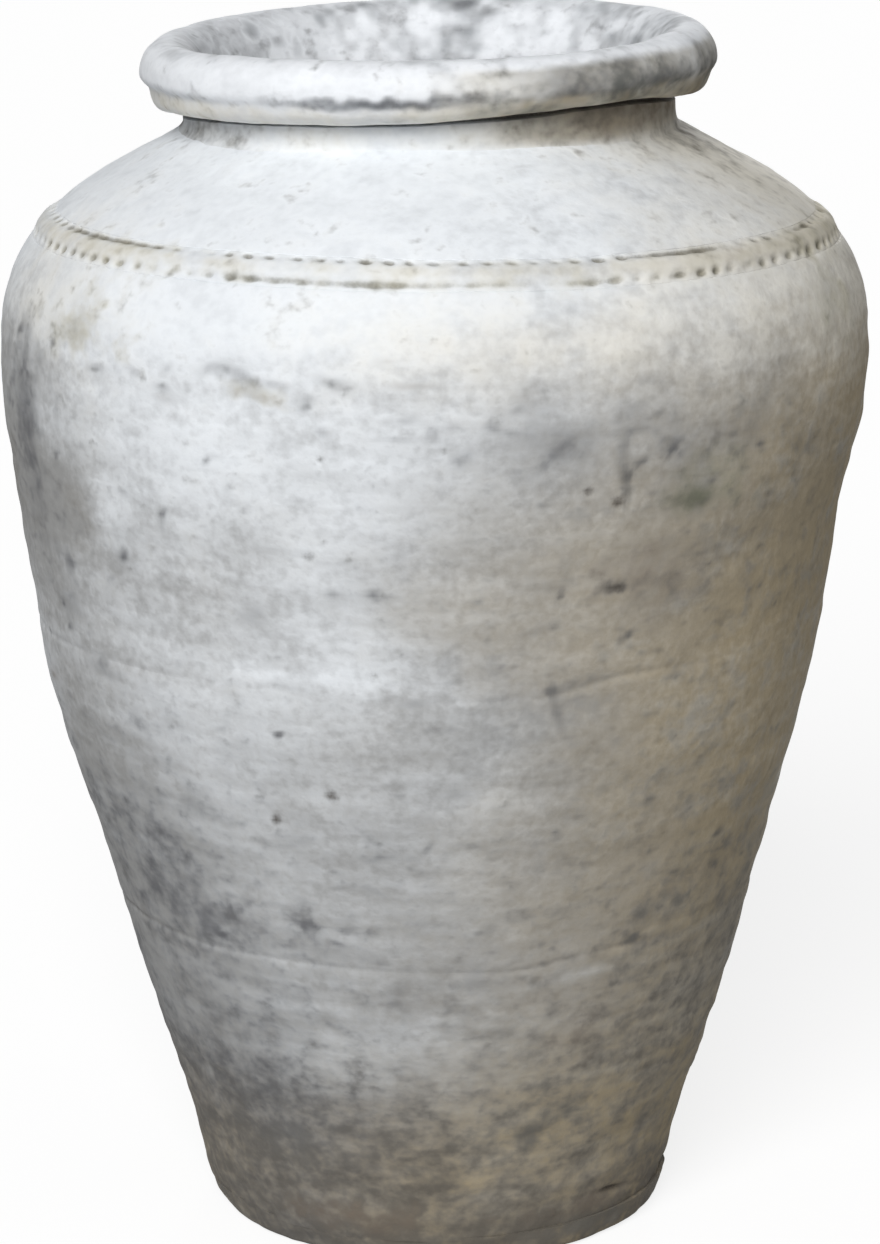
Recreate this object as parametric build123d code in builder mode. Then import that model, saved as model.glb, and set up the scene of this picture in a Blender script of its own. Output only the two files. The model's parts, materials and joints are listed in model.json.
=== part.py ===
"""Greek pithos: a tall clay storage jar, raised in stages that are luted one on another.

The jar stands on the XY plane with its axis on +Z, and its front faces -Y. Each stage of the wall is a
ring that sits on the stage below with a keyed joint. A notched strip covers the joint of wall and
shoulder. The neck and rim lean a little to one side, as they do on the hand-made jar.
"""

import os
from math import cos, radians, sin

from build123d import *

# Flat slab that the jar stands on, set in a little under the foot of the wall
slab_thickness = 22.0
slab_inset = 10.0
slab_edge_rounding = 7.0

# Stages of the wall: how far each one rises, and the outer radius and lean where it starts or ends.
# A lean is in degrees from upright, and is positive where the wall widens as it rises.
foot_radius = 194.0
foot_lean = 15.0
foot_edge_rounding = 6.0
lower_wall_rise = 256.0
lower_joint_radius = 269.5
lower_joint_lean = 13.5
middle_wall_rise = 242.0
middle_joint_radius = 329.0
middle_joint_lean = 7.0
belly_wall_rise = 248.0
belly_joint_radius = 357.0
belly_joint_lean = -4.0
upper_wall_rise = 81.0
shoulder_joint_radius = 320.0
shoulder_joint_lean = -46.0
shoulder_rise = 76.0
shoulder_top_lean = -60.0

# Clay thickness, and the key that locks one stage to the next, in the middle share of the joint
wall_thickness = 24.0
key_depth = 7.0
key_share = 0.36

# Neck and rim, about the axis of the mouth, which crosses the jar's axis below the neck's foot
mouth_lean = 1.8
mouth_pivot_drop = 185.0
neck_radius = 201.0
neck_wall = 27.0
neck_rise = 16.0
neck_socket_depth = 6.0
shoulder_hole_ease = 4.0
rim_overhang = 35.5
rim_rise = 59.0
rim_widest_rise = 30.0
rim_crest_inset = 24.5
rim_underside_inset = 20.5

# Applied strip over the joint of wall and shoulder
band_width = 22.0
band_proud = 3.5
band_seat_depth = 2.0
notch_count = 110
notch_width = 9.0
notch_reach = 5.5
notch_floor = 0.5

# Spare length by which a cut runs past what it cuts
cut_overrun = 20.0

# Heights above the floor, and the radii that follow from the sizes above
lower_joint_height = slab_thickness + lower_wall_rise
middle_joint_height = lower_joint_height + middle_wall_rise
belly_joint_height = middle_joint_height + belly_wall_rise
shoulder_joint_height = belly_joint_height + upper_wall_rise
neck_foot_height = shoulder_joint_height + shoulder_rise
neck_seat_height = neck_foot_height - neck_socket_depth
neck_top_height = neck_foot_height + neck_rise
rim_widest_height = neck_top_height + rim_widest_rise
rim_height = neck_top_height + rim_rise
mouth_pivot_height = neck_foot_height - mouth_pivot_drop
slab_radius = foot_radius - slab_inset
bore_radius = neck_radius - neck_wall
shoulder_hole_radius = bore_radius + shoulder_hole_ease
rim_radius = neck_radius + rim_overhang
rim_crest_radius = rim_radius - rim_crest_inset
rim_underside_radius = rim_radius - rim_underside_inset


def along(lean):
    """Direction up the wall in its section, where it leans outwards by so many degrees."""
    return Vector(sin(radians(lean)), cos(radians(lean)))


def outward(lean):
    """Direction square to the wall in its section, away from the clay, at the same lean."""
    return Vector(cos(radians(lean)), -sin(radians(lean)))


def keyed_edge(outer, inner):
    """Line of a joint from its outer to its inner point, with the key's notch pointing down."""
    across = (inner - outer).normalized()
    down = Vector(-across.Y, across.X)
    middle = (outer + inner) / 2
    half_key = across * (inner - outer).length * key_share / 2
    return [outer, middle - half_key, middle + down * key_depth, middle + half_key, inner]


class Joint:
    """Where two stages of the wall meet, square to its faces."""

    def __init__(self, radius, height, lean):
        self.lean = lean
        self.outer = Vector(radius, height)
        self.inner = self.outer - outward(lean) * wall_thickness
        self.edge = keyed_edge(self.outer, self.inner)


class FootJoint:
    """Where the wall stands on the slab: level, and keyed inside the slab's edge."""

    def __init__(self):
        self.lean = foot_lean
        self.outer = Vector(foot_radius, slab_thickness)
        self.inner = self.outer - Vector(wall_thickness / cos(radians(foot_lean)), 0)
        self.seat = keyed_edge(Vector(slab_radius, slab_thickness), self.inner)
        self.edge = [self.outer, *self.seat]


foot_joint = FootJoint()
lower_joint = Joint(lower_joint_radius, lower_joint_height, lower_joint_lean)
middle_joint = Joint(middle_joint_radius, middle_joint_height, middle_joint_lean)
belly_joint = Joint(belly_joint_radius, belly_joint_height, belly_joint_lean)
shoulder_joint = Joint(shoulder_joint_radius, shoulder_joint_height, shoulder_joint_lean)

# The mouth turns about its own axis, which leans towards -X as it rises
lean_angle = radians(mouth_lean)
mouth_up = Vector(-sin(lean_angle), 0, cos(lean_angle))
mouth_foot = Vector(0, 0, mouth_pivot_height) - mouth_up * mouth_pivot_height
mouth_axis = Axis(mouth_foot, mouth_up)
mouth_plane = Plane(mouth_foot, x_dir=(cos(lean_angle), 0, sin(lean_angle)), z_dir=(0, -1, 0))
neck_rim_edge = keyed_edge(Vector(neck_radius, neck_top_height), Vector(bore_radius, neck_top_height))


def wall_section(low, high):
    """Section of one stage of the wall, from the joint below to the joint above."""
    tangents = (along(low.lean), along(high.lean))
    with BuildSketch(Plane.XZ) as section:
        with BuildLine():
            Polyline(*low.edge)
            Spline(low.outer, high.outer, tangents=tangents)
            Polyline(*high.edge)
            Spline(low.inner, high.inner, tangents=tangents)
        make_face()
    return section.sketch


def shoulder_section():
    """Section of the shoulder, from its joint to inside the mouth, where the neck's socket is cut."""
    tangents = (along(shoulder_joint_lean), along(shoulder_top_lean))
    top_outer = Vector(neck_radius, neck_foot_height)
    top_inner = top_outer - outward(shoulder_top_lean) * wall_thickness
    reach = along(shoulder_top_lean) * (neck_wall + cut_overrun)
    with BuildSketch(Plane.XZ) as section:
        with BuildLine():
            Polyline(*shoulder_joint.edge)
            Spline(shoulder_joint.outer, top_outer, tangents=tangents)
            Polyline(top_outer, top_outer + reach, top_inner + reach, top_inner)
            Spline(shoulder_joint.inner, top_inner, tangents=tangents)
        make_face()
    return section.sketch


def socket_section():
    """Section of the hole through the shoulder and of the socket above it, from the mouth's axis out."""
    hole_bottom = neck_seat_height - wall_thickness - cut_overrun
    with BuildSketch(mouth_plane) as section:
        with BuildLine():
            Polyline(
                (0, hole_bottom),
                (shoulder_hole_radius, hole_bottom),
                (shoulder_hole_radius, neck_seat_height),
                (neck_radius, neck_seat_height),
                (neck_radius, rim_height),
                (0, rim_height),
                close=True,
            )
        make_face()
    return section.sketch


def band_point(up_wall, off_wall):
    """Point of the strip's section, so far up the wall from its joint and so far off its face."""
    lean = shoulder_joint_lean
    return shoulder_joint.outer + along(lean) * up_wall + outward(lean) * off_wall


def band_section():
    """Section of the strip, square, from its seat in the wall to its outer face."""
    half_width = band_width / 2
    with BuildSketch(Plane.XZ) as section:
        with BuildLine():
            Polyline(
                band_point(-half_width, -band_seat_depth),
                band_point(-half_width, band_proud),
                band_point(half_width, band_proud),
                band_point(half_width, -band_seat_depth),
                close=True,
            )
        make_face()
    return section.sketch


def notch_tool(side):
    """Wedge that presses one notch into the strip's upper edge (side 1) or lower edge (side -1)."""
    floor = band_point(side * band_width / 2, notch_floor)
    square = outward(shoulder_joint_lean)
    place = Plane((floor.X, 0, floor.Y), x_dir=(0, 1, 0), z_dir=(square.X, 0, square.Y))
    with BuildPart() as wedge:
        with BuildSketch(place):
            with BuildLine():
                Polyline(
                    (-notch_width, side * notch_reach),
                    (0, -side * notch_reach),
                    (notch_width, side * notch_reach),
                    close=True,
                )
            make_face()
        extrude(amount=band_proud + cut_overrun)
    return wedge.part


# Slab with the groove that takes the foot's key
with BuildPart() as base_slab:
    with BuildSketch(Plane.XZ):
        with BuildLine():
            Polyline((0, slab_thickness), (0, 0), (slab_radius, 0), *foot_joint.seat, (0, slab_thickness))
        make_face()
    revolve(axis=Axis.Z)
    fillet(base_slab.faces().sort_by(Axis.Z)[0].edges(), slab_edge_rounding)

# Stages of the wall from the foot to the belly
with BuildPart() as lower_wall:
    revolve(wall_section(foot_joint, lower_joint), axis=Axis.Z)
    rings = lower_wall.edges().filter_by(GeomType.CIRCLE)
    foot_rings = rings.filter_by_position(Axis.Z, slab_thickness, slab_thickness)
    fillet(foot_rings.sort_by(SortBy.RADIUS)[-1], foot_edge_rounding)

with BuildPart() as middle_wall:
    revolve(wall_section(lower_joint, middle_joint), axis=Axis.Z)

with BuildPart() as belly_wall:
    revolve(wall_section(middle_joint, belly_joint), axis=Axis.Z)

# Stage that turns in to the shoulder, with half of the strip's seat
with BuildPart() as upper_wall:
    revolve(wall_section(belly_joint, shoulder_joint), axis=Axis.Z)
    revolve(band_section(), axis=Axis.Z, mode=Mode.SUBTRACT)

# Shoulder, with the other half of the seat and the socket that the neck stands in
with BuildPart() as shoulder:
    revolve(shoulder_section(), axis=Axis.Z)
    revolve(socket_section(), axis=mouth_axis, mode=Mode.SUBTRACT)
    revolve(band_section(), axis=Axis.Z, mode=Mode.SUBTRACT)

# Neck ring, with the groove that takes the rim's key
with BuildPart() as neck_collar:
    with BuildSketch(mouth_plane):
        with BuildLine():
            Polyline(
                (bore_radius, neck_seat_height),
                (neck_radius, neck_seat_height),
                *neck_rim_edge,
                (bore_radius, neck_seat_height),
            )
        make_face()
    revolve(axis=mouth_axis)

# Rolled rim: round over its outer side and crest, and flared into the neck
with BuildPart() as rim_roll:
    with BuildSketch(mouth_plane):
        with BuildLine():
            Polyline(*neck_rim_edge)
            Line((neck_radius, neck_top_height), (rim_underside_radius, neck_top_height))
            underside_centre = (rim_underside_radius, rim_widest_height)
            EllipticalCenterArc(underside_centre, rim_underside_inset, rim_widest_rise, 270, arc_size=90)
            crest_centre = (rim_crest_radius, rim_widest_height)
            EllipticalCenterArc(crest_centre, rim_crest_inset, rim_rise - rim_widest_rise, 0, arc_size=90)
            flare_centre = (rim_crest_radius, neck_top_height)
            EllipticalCenterArc(flare_centre, rim_crest_radius - bore_radius, rim_rise, 90, arc_size=90)
        make_face()
    revolve(axis=mouth_axis)

# Applied strip, pressed with notches along both edges, half a step apart
upper_notch = notch_tool(1)
lower_notch = notch_tool(-1)
with BuildPart() as shoulder_band:
    revolve(band_section(), axis=Axis.Z)
    with PolarLocations(0, notch_count):
        add(upper_notch, mode=Mode.SUBTRACT)
    with PolarLocations(0, notch_count, start_angle=180 / notch_count):
        add(lower_notch, mode=Mode.SUBTRACT)

pieces = {
    "base_slab": base_slab,
    "lower_wall": lower_wall,
    "middle_wall": middle_wall,
    "belly_wall": belly_wall,
    "upper_wall": upper_wall,
    "shoulder": shoulder,
    "neck_collar": neck_collar,
    "rim_roll": rim_roll,
    "shoulder_band": shoulder_band,
}
os.makedirs("parts", exist_ok=True)
for name, piece in pieces.items():
    piece.part.label = name
    export_step(piece.part, f"parts/{name}.step")
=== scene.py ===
"""Looks of a tall clay storage jar: coil-built stages under worn limewash, on a plain pale studio floor."""

import json
import logging
import math
from dataclasses import dataclass
from enum import Enum
from typing import Any, Callable

import bmesh
import bpy
import numpy as np
from mathutils import Matrix, Vector


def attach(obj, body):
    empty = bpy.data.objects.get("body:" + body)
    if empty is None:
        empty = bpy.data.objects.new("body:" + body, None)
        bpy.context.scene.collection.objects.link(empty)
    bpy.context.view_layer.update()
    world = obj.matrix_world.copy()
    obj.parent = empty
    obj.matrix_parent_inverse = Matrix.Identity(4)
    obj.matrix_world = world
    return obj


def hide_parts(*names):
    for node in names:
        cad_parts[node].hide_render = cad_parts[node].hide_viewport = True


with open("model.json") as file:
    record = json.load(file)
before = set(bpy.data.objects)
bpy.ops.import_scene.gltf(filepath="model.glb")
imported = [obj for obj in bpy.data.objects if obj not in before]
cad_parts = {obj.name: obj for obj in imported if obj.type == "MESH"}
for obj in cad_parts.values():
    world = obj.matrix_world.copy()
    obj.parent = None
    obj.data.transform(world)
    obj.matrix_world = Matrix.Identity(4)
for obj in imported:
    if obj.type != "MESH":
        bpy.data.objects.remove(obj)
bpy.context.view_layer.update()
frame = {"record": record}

BODY = "root"
LOG = logging.getLogger("storage_jar")
MM = 0.001
TURN = 2.0 * math.pi
WALL_STEPS = 720
SECTORS = 20
WALL_ROW = 2.9 * MM
ROW_CROWDING = 0.085
MERGE_DISTANCE = 0.01 * MM
SHARP_EDGE = 50.0
TINY = 1e-6
MOUTH_MOUNT_LEVEL = 0.930
LAMP_DISTANCE = 3.0
LEVEL_ONLY = np.array([1.0, 1.0, 0.0])
LEVEL_OUT = np.array([1.0, 0.0])
# The mix node has sockets of one name for each kind of data, so those for colour go by their places
COLOUR_MIX = {"data_type": "RGBA"}
MIX_UNDER, MIX_OVER, MIX_RESULT = 6, 7, 2

Curve = Callable[[float], tuple[float, float]]
Fields = dict[str, bpy.types.NodeSocket]
Shares = dict[str, np.ndarray]


class Slot(Enum):
    """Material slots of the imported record."""

    WALL = "limewashed_clay"
    RIM = "rim_limewash"
    FOOT = "bare_clay"


class Mark(Enum):
    """What a mark on the jar does to its surface."""

    SOOT_AND_SHADE = "soot_and_shade"
    SOIL = "soil_and_shade"
    LIME = "lime"
    OCHRE = "ochre"
    MOSS = "moss"
    PIT = "pit"


class Lattice(Enum):
    """The two fields of noise, by their seeds."""

    BROAD = 11
    FINE = 23


def linear(code: str) -> tuple[float, float, float, float]:
    """Turns an sRGB hex colour into linear light.

    Args:
        code: Colour as #RRGGBB.

    Returns:
        Red, green, blue and an alpha of one.
    """
    parts = [int(code[place : place + 2], 16) / 255.0 for place in (1, 3, 5)]
    light = [part / 12.92 if part <= 0.04045 else ((part + 0.055) / 1.055) ** 2.4 for part in parts]
    return light[0], light[1], light[2], 1.0


def ramp(value: np.ndarray, low: float, high: float) -> np.ndarray:
    """Rises smoothly from 0 at low to 1 at high.

    Args:
        value: Numbers to grade.
        low: Where the rise starts.
        high: Where it ends; it may be the smaller one.

    Returns:
        Shares between 0 and 1.
    """
    share = np.clip((value - low) / (high - low), 0.0, 1.0)
    return share * share * (3.0 - 2.0 * share)


def bell(value: np.ndarray, spread: float) -> np.ndarray:
    """Gives a soft hump of height 1 around zero."""
    return np.exp(-((value / spread) ** 2))


def rightward(azimuth: np.ndarray) -> np.ndarray:
    """Gives the side that points lie on: -1 at the left, 0 in front and behind, 1 at the right."""
    return np.sin(np.radians(azimuth))


def limited(shares: Shares) -> Shares:
    """Keeps every share between 0 and 1."""
    return {name: np.clip(share, 0.0, 1.0) for name, share in shares.items()}


class Unevenness:
    """Smooth seeded noise over points in space, for the marks that a hand leaves."""

    CELLS = 64
    OFFSET = 17.3

    def __init__(self, seed: int) -> None:
        """Fills the lattice of random heights."""
        self.lattice = np.random.default_rng(seed).uniform(-1.0, 1.0, (self.CELLS,) * 3)

    def at(self, points: np.ndarray, size: tuple[float, float, float]) -> np.ndarray:
        """Reads the noise.

        Args:
            points: Places in metres, one row each.
            size: Width of a bump along X, Y and Z in metres.

        Returns:
            Values between -1 and 1.
        """
        place = points / np.array(size) + self.OFFSET
        cell = np.floor(place).astype(int)
        part = place - cell
        fade = part**3 * (part * (part * 6.0 - 15.0) + 10.0)
        total = np.zeros(len(points))
        for corner in np.ndindex(2, 2, 2):
            weight = np.prod(np.where(corner, fade, 1.0 - fade), axis=1)
            knot = (cell + corner) % self.CELLS
            total += weight * self.lattice[knot[:, 0], knot[:, 1], knot[:, 2]]
        return total

    def round(self, points: np.ndarray, size: float) -> np.ndarray:
        """Reads the noise with bumps as wide as they are high."""
        return self.at(points, (size, size, size))


@dataclass(frozen=True)
class Station:
    """One station of the wall's outer face: radius and height in metres, lean in degrees from upright."""

    radius: float
    height: float
    lean: float

    def along(self) -> np.ndarray:
        """Gives the direction up the wall, as radius and height."""
        return np.array([math.sin(math.radians(self.lean)), math.cos(math.radians(self.lean))])

    def outward(self) -> np.ndarray:
        """Gives the direction out of the wall, as radius and height."""
        return np.array([math.cos(math.radians(self.lean)), -math.sin(math.radians(self.lean))])


@dataclass(frozen=True)
class Reach:
    """The smooth outer line of the wall between two stations."""

    STEP = 0.005
    low: Station
    high: Station

    def length(self) -> float:
        """Gives the straight distance between the stations."""
        return math.hypot(self.high.radius - self.low.radius, self.high.height - self.low.height)

    def at(self, share: float) -> np.ndarray:
        """Gives the point at a share of the way up.

        Args:
            share: Share of the way from the low to the high station.

        Returns:
            Radius and height on the outer face.
        """
        start = np.array([self.low.radius, self.low.height])
        end = np.array([self.high.radius, self.high.height])
        rest = 1.0 - share
        pull = self.length() * (self.low.along() * rest - self.high.along() * share)
        return start * rest**2 * (1 + 2 * share) + end * share**2 * (1 + 2 * rest) + pull * share * rest

    def inside(self, share: float, wall: float) -> np.ndarray:
        """Gives the point across the wall from a share of the way up.

        Args:
            share: Share of the way from the low to the high station.
            wall: Thickness of the wall in metres.

        Returns:
            Radius and height on the inner face.
        """
        ahead = self.at(min(share + self.STEP, 1.0)) - self.at(max(share - self.STEP, 0.0))
        ahead /= np.linalg.norm(ahead)
        return self.at(share) - wall * np.array([ahead[1], -ahead[0]])


# Stations of the wall's outer face from foot to neck
FOOT = Station(0.194, 0.022, 15.0)
LOWER_JOINT = Station(0.2695, 0.278, 13.5)
MIDDLE_JOINT = Station(0.329, 0.520, 7.0)
BELLY_JOINT = Station(0.357, 0.768, -4.0)
SHOULDER_JOINT = Station(0.320, 0.849, -46.0)
NECK_FOOT = Station(0.201, 0.925, -60.0)
STATIONS = (FOOT, LOWER_JOINT, MIDDLE_JOINT, BELLY_JOINT, SHOULDER_JOINT, NECK_FOOT)
# Names and nodes of the wall's stages, each between two stations
STAGES = (
    ("first_stage", "lower_wall"),
    ("second_stage", "middle_wall"),
    ("third_stage", "belly_wall"),
    ("fourth_stage", "upper_wall"),
)
# Thickness of the wall, and the strip over the shoulder's joint: its width, place and seat
WALL = 0.024
BAND_WIDTH = 0.030
BAND_SHIFT = -0.0035
BAND_SEAT = 0.0045


@dataclass(frozen=True)
class Stain:
    """One mark on the wall: place in degrees right of the front and metres up, size in millimetres."""

    FALL = 2.0
    RAGGED = 0.8
    RAGGED_LIMITS = (0.4, 1.8)
    mark: Mark
    azimuth: float
    height: float
    width: float
    rise: float
    strength: float
    tilt: float = 0.0

    def weight(
        self, azimuth: np.ndarray, height: np.ndarray, radius: np.ndarray, ragged: np.ndarray
    ) -> np.ndarray:
        """Grades how far the mark reaches each point.

        Args:
            azimuth: Degrees right of the front.
            height: Metres above the floor.
            radius: Distance from the axis in metres.
            ragged: Noise that breaks the outline.

        Returns:
            Strength at each point, 0 outside the mark.
        """
        turn = (azimuth - self.azimuth + 180.0) % 360.0 - 180.0
        across = np.radians(turn) * radius
        up = height - self.height
        slope = math.radians(self.tilt)
        run = across * math.cos(slope) + up * math.sin(slope)
        climb = up * math.cos(slope) - across * math.sin(slope)
        span = (run / (self.width * MM)) ** 2 + (climb / (self.rise * MM)) ** 2
        fray = np.clip(1.0 + self.RAGGED * ragged, *self.RAGGED_LIMITS)
        return self.strength * np.exp(-self.FALL * span * fray)


STAINS = (
    # Pale shoulder, beige bloom and the broken grey smear along the belly's joint, left of the front
    Stain(Mark.LIME, -22, 0.815, 120, 50, 0.25),
    Stain(Mark.OCHRE, -52, 0.790, 64, 36, 0.60),
    Stain(Mark.MOSS, -57, 0.792, 60, 34, 0.20),
    Stain(Mark.SOOT_AND_SHADE, -53, 0.787, 26, 16, 0.30),
    Stain(Mark.SOOT_AND_SHADE, -48, 0.800, 16, 7, 0.30),
    Stain(Mark.SOOT_AND_SHADE, -28, 0.775, 24, 9, 0.50, 8),
    Stain(Mark.SOOT_AND_SHADE, -24.5, 0.771, 18, 13, 0.46, -20),
    Stain(Mark.OCHRE, -23, 0.760, 34, 12, 0.50, -12),
    Stain(Mark.SOIL, -23, 0.757, 30, 7, 0.36, -12),
    Stain(Mark.SOOT_AND_SHADE, -19.5, 0.766, 20, 6, 0.44, -6),
    Stain(Mark.SOOT_AND_SHADE, -12.5, 0.769, 24, 9, 0.50, -12),
    Stain(Mark.SOOT_AND_SHADE, -15.5, 0.757, 12, 7, 0.44),
    Stain(Mark.SOOT_AND_SHADE, -40, 0.764, 16, 8, 0.44),
    Stain(Mark.SOOT_AND_SHADE, -35.5, 0.756, 14, 7, 0.44),
    Stain(Mark.SOIL, -35, 0.747, 18, 7, 0.34),
    Stain(Mark.SOOT_AND_SHADE, -47, 0.762, 24, 9, 0.44),
    Stain(Mark.SOIL, -2, 0.768, 30, 5, 0.34),
    Stain(Mark.SOIL, -6, 0.786, 16, 6, 0.30),
    # Dark left edge of the belly, which is painted shade, and the blue-grey wash beside it
    Stain(Mark.SOOT_AND_SHADE, -66, 0.725, 56, 74, 0.62),
    Stain(Mark.SOOT_AND_SHADE, -66, 0.640, 46, 90, 0.34),
    Stain(Mark.LIME, -27, 0.700, 90, 60, 0.14),
    Stain(Mark.SOOT_AND_SHADE, -37, 0.648, 8, 16, 0.42),
    Stain(Mark.SOOT_AND_SHADE, -45, 0.612, 22, 9, 0.36),
    Stain(Mark.SOOT_AND_SHADE, -60, 0.555, 40, 30, 0.36),
    Stain(Mark.SOOT_AND_SHADE, -20, 0.636, 34, 5, 0.34),
    Stain(Mark.SOOT_AND_SHADE, -24, 0.580, 16, 14, 0.40),
    # Grey bruise and its dark flecks, right of the front
    Stain(Mark.SOOT_AND_SHADE, 17, 0.722, 120, 38, 0.32),
    Stain(Mark.SOOT_AND_SHADE, 24, 0.700, 6, 38, 0.36, 3),
    Stain(Mark.SOOT_AND_SHADE, 25, 0.729, 24, 7, 0.32),
    Stain(Mark.SOOT_AND_SHADE, 10, 0.750, 18, 9, 0.34, 20),
    Stain(Mark.SOOT_AND_SHADE, 7, 0.735, 15, 7, 0.42, -15),
    Stain(Mark.SOOT_AND_SHADE, 2, 0.737, 14, 8, 0.36),
    Stain(Mark.SOOT_AND_SHADE, 3, 0.712, 14, 14, 0.36),
    Stain(Mark.SOOT_AND_SHADE, -4, 0.742, 16, 6, 0.34),
    Stain(Mark.SOOT_AND_SHADE, -4, 0.728, 26, 5, 0.36),
    Stain(Mark.SOOT_AND_SHADE, 15, 0.716, 20, 6, 0.36, 44),
    Stain(Mark.SOOT_AND_SHADE, 18, 0.664, 12, 14, 0.40),
    Stain(Mark.SOOT_AND_SHADE, 8, 0.647, 20, 6, 0.32),
    Stain(Mark.SOOT_AND_SHADE, -5, 0.635, 26, 6, 0.34),
    Stain(Mark.SOOT_AND_SHADE, -6, 0.603, 34, 9, 0.32),
    # Olive patches and the bare brown clay of the right side
    Stain(Mark.OCHRE, 38, 0.683, 60, 44, 0.50),
    Stain(Mark.MOSS, 36, 0.676, 50, 34, 0.44),
    Stain(Mark.MOSS, 35, 0.668, 24, 15, 0.40),
    Stain(Mark.MOSS, 62, 0.800, 50, 40, 0.34),
    Stain(Mark.SOOT_AND_SHADE, 44, 0.715, 90, 30, 0.34),
    Stain(Mark.OCHRE, 66, 0.800, 60, 36, 0.45),
    Stain(Mark.SOOT_AND_SHADE, 36, 0.684, 60, 28, 0.20),
    Stain(Mark.SOOT_AND_SHADE, 55, 0.690, 26, 12, 0.46),
    Stain(Mark.SOIL, 28, 0.612, 90, 56, 0.40),
    Stain(Mark.SOOT_AND_SHADE, 24, 0.602, 12, 6, 0.40),
    Stain(Mark.SOOT_AND_SHADE, 29, 0.606, 50, 9, 0.38, 6),
    Stain(Mark.SOOT_AND_SHADE, 14, 0.607, 54, 9, 0.36),
    Stain(Mark.SOOT_AND_SHADE, 42, 0.565, 26, 20, 0.32),
    Stain(Mark.SOOT_AND_SHADE, 13, 0.572, 40, 7, 0.40, 12),
    # Flecks along and below the middle joint
    Stain(Mark.SOOT_AND_SHADE, 16.6, 0.504, 6, 30, 0.46, 20),
    Stain(Mark.SOOT_AND_SHADE, 20, 0.527, 60, 6, 0.42, 8),
    Stain(Mark.LIME, -18, 0.532, 110, 10, 0.25, -2),
    Stain(Mark.SOOT_AND_SHADE, -3, 0.515, 28, 7, 0.42),
    Stain(Mark.SOOT_AND_SHADE, -20, 0.526, 30, 9, 0.34),
    Stain(Mark.SOOT_AND_SHADE, -53, 0.513, 44, 14, 0.40, -12),
    Stain(Mark.SOOT_AND_SHADE, -47, 0.474, 26, 12, 0.36, -30),
    Stain(Mark.SOOT_AND_SHADE, 3, 0.438, 22, 10, 0.34),
    Stain(Mark.SOOT_AND_SHADE, 21, 0.414, 28, 14, 0.40),
    Stain(Mark.SOOT_AND_SHADE, 40, 0.440, 60, 30, 0.30),
    # Smoke-grey lower left, with its darkest patches near the lower joint
    Stain(Mark.SOOT_AND_SHADE, -52, 0.370, 130, 90, 0.24),
    Stain(Mark.SOOT_AND_SHADE, -37, 0.408, 34, 9, 0.40, -14),
    Stain(Mark.SOOT_AND_SHADE, -46, 0.377, 26, 10, 0.34, -10),
    Stain(Mark.SOOT_AND_SHADE, -43, 0.308, 110, 50, 0.30),
    Stain(Mark.SOOT_AND_SHADE, -33, 0.292, 90, 40, 0.26),
    Stain(Mark.SOOT_AND_SHADE, -40, 0.312, 44, 14, 0.18),
    Stain(Mark.SOOT_AND_SHADE, -21, 0.391, 30, 10, 0.36),
    Stain(Mark.SOOT_AND_SHADE, -8, 0.383, 28, 7, 0.40, 12),
    Stain(Mark.SOOT_AND_SHADE, -13, 0.353, 26, 7, 0.34),
    Stain(Mark.SOOT_AND_SHADE, -20, 0.317, 54, 5, 0.46, -5),
    Stain(Mark.SOOT_AND_SHADE, -2, 0.322, 26, 8, 0.34),
    # Right side about the lower joint
    Stain(Mark.SOOT_AND_SHADE, 19, 0.328, 44, 12, 0.38),
    Stain(Mark.SOOT_AND_SHADE, 30, 0.352, 44, 10, 0.36, 25),
    Stain(Mark.SOOT_AND_SHADE, 50, 0.340, 80, 60, 0.36),
    Stain(Mark.SOOT_AND_SHADE, 36, 0.291, 26, 10, 0.42),
    Stain(Mark.SOOT_AND_SHADE, 7, 0.270, 20, 16, 0.36),
    Stain(Mark.LIME, 27, 0.268, 40, 8, 0.30, 6),
    Stain(Mark.LIME, -8, 0.205, 80, 46, 0.22),
    Stain(Mark.SOIL, 26, 0.215, 40, 34, 0.30),
    # Damp and dirt above the foot
    Stain(Mark.SOOT_AND_SHADE, -38, 0.168, 70, 26, 0.42),
    Stain(Mark.SOOT_AND_SHADE, -36, 0.105, 90, 40, 0.44),
    Stain(Mark.SOOT_AND_SHADE, -30, 0.110, 16, 22, 0.46),
    Stain(Mark.SOOT_AND_SHADE, -8, 0.160, 50, 12, 0.38),
    Stain(Mark.SOOT_AND_SHADE, -16, 0.133, 24, 6, 0.40),
    Stain(Mark.SOOT_AND_SHADE, 19, 0.166, 30, 8, 0.42),
    Stain(Mark.SOOT_AND_SHADE, 20, 0.124, 22, 16, 0.42),
    Stain(Mark.SOOT_AND_SHADE, 25, 0.138, 62, 40, 0.46),
    Stain(Mark.SOOT_AND_SHADE, 9, 0.116, 44, 22, 0.34),
    Stain(Mark.SOIL, -20, 0.042, 90, 26, 0.46),
    Stain(Mark.SOIL, 42, 0.036, 90, 24, 0.46),
    Stain(Mark.SOOT_AND_SHADE, 42, 0.020, 100, 22, 0.62),
    Stain(Mark.SOOT_AND_SHADE, 2, 0.022, 26, 14, 0.50),
    Stain(Mark.SOOT_AND_SHADE, -21, 0.034, 16, 12, 0.46),
)

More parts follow.
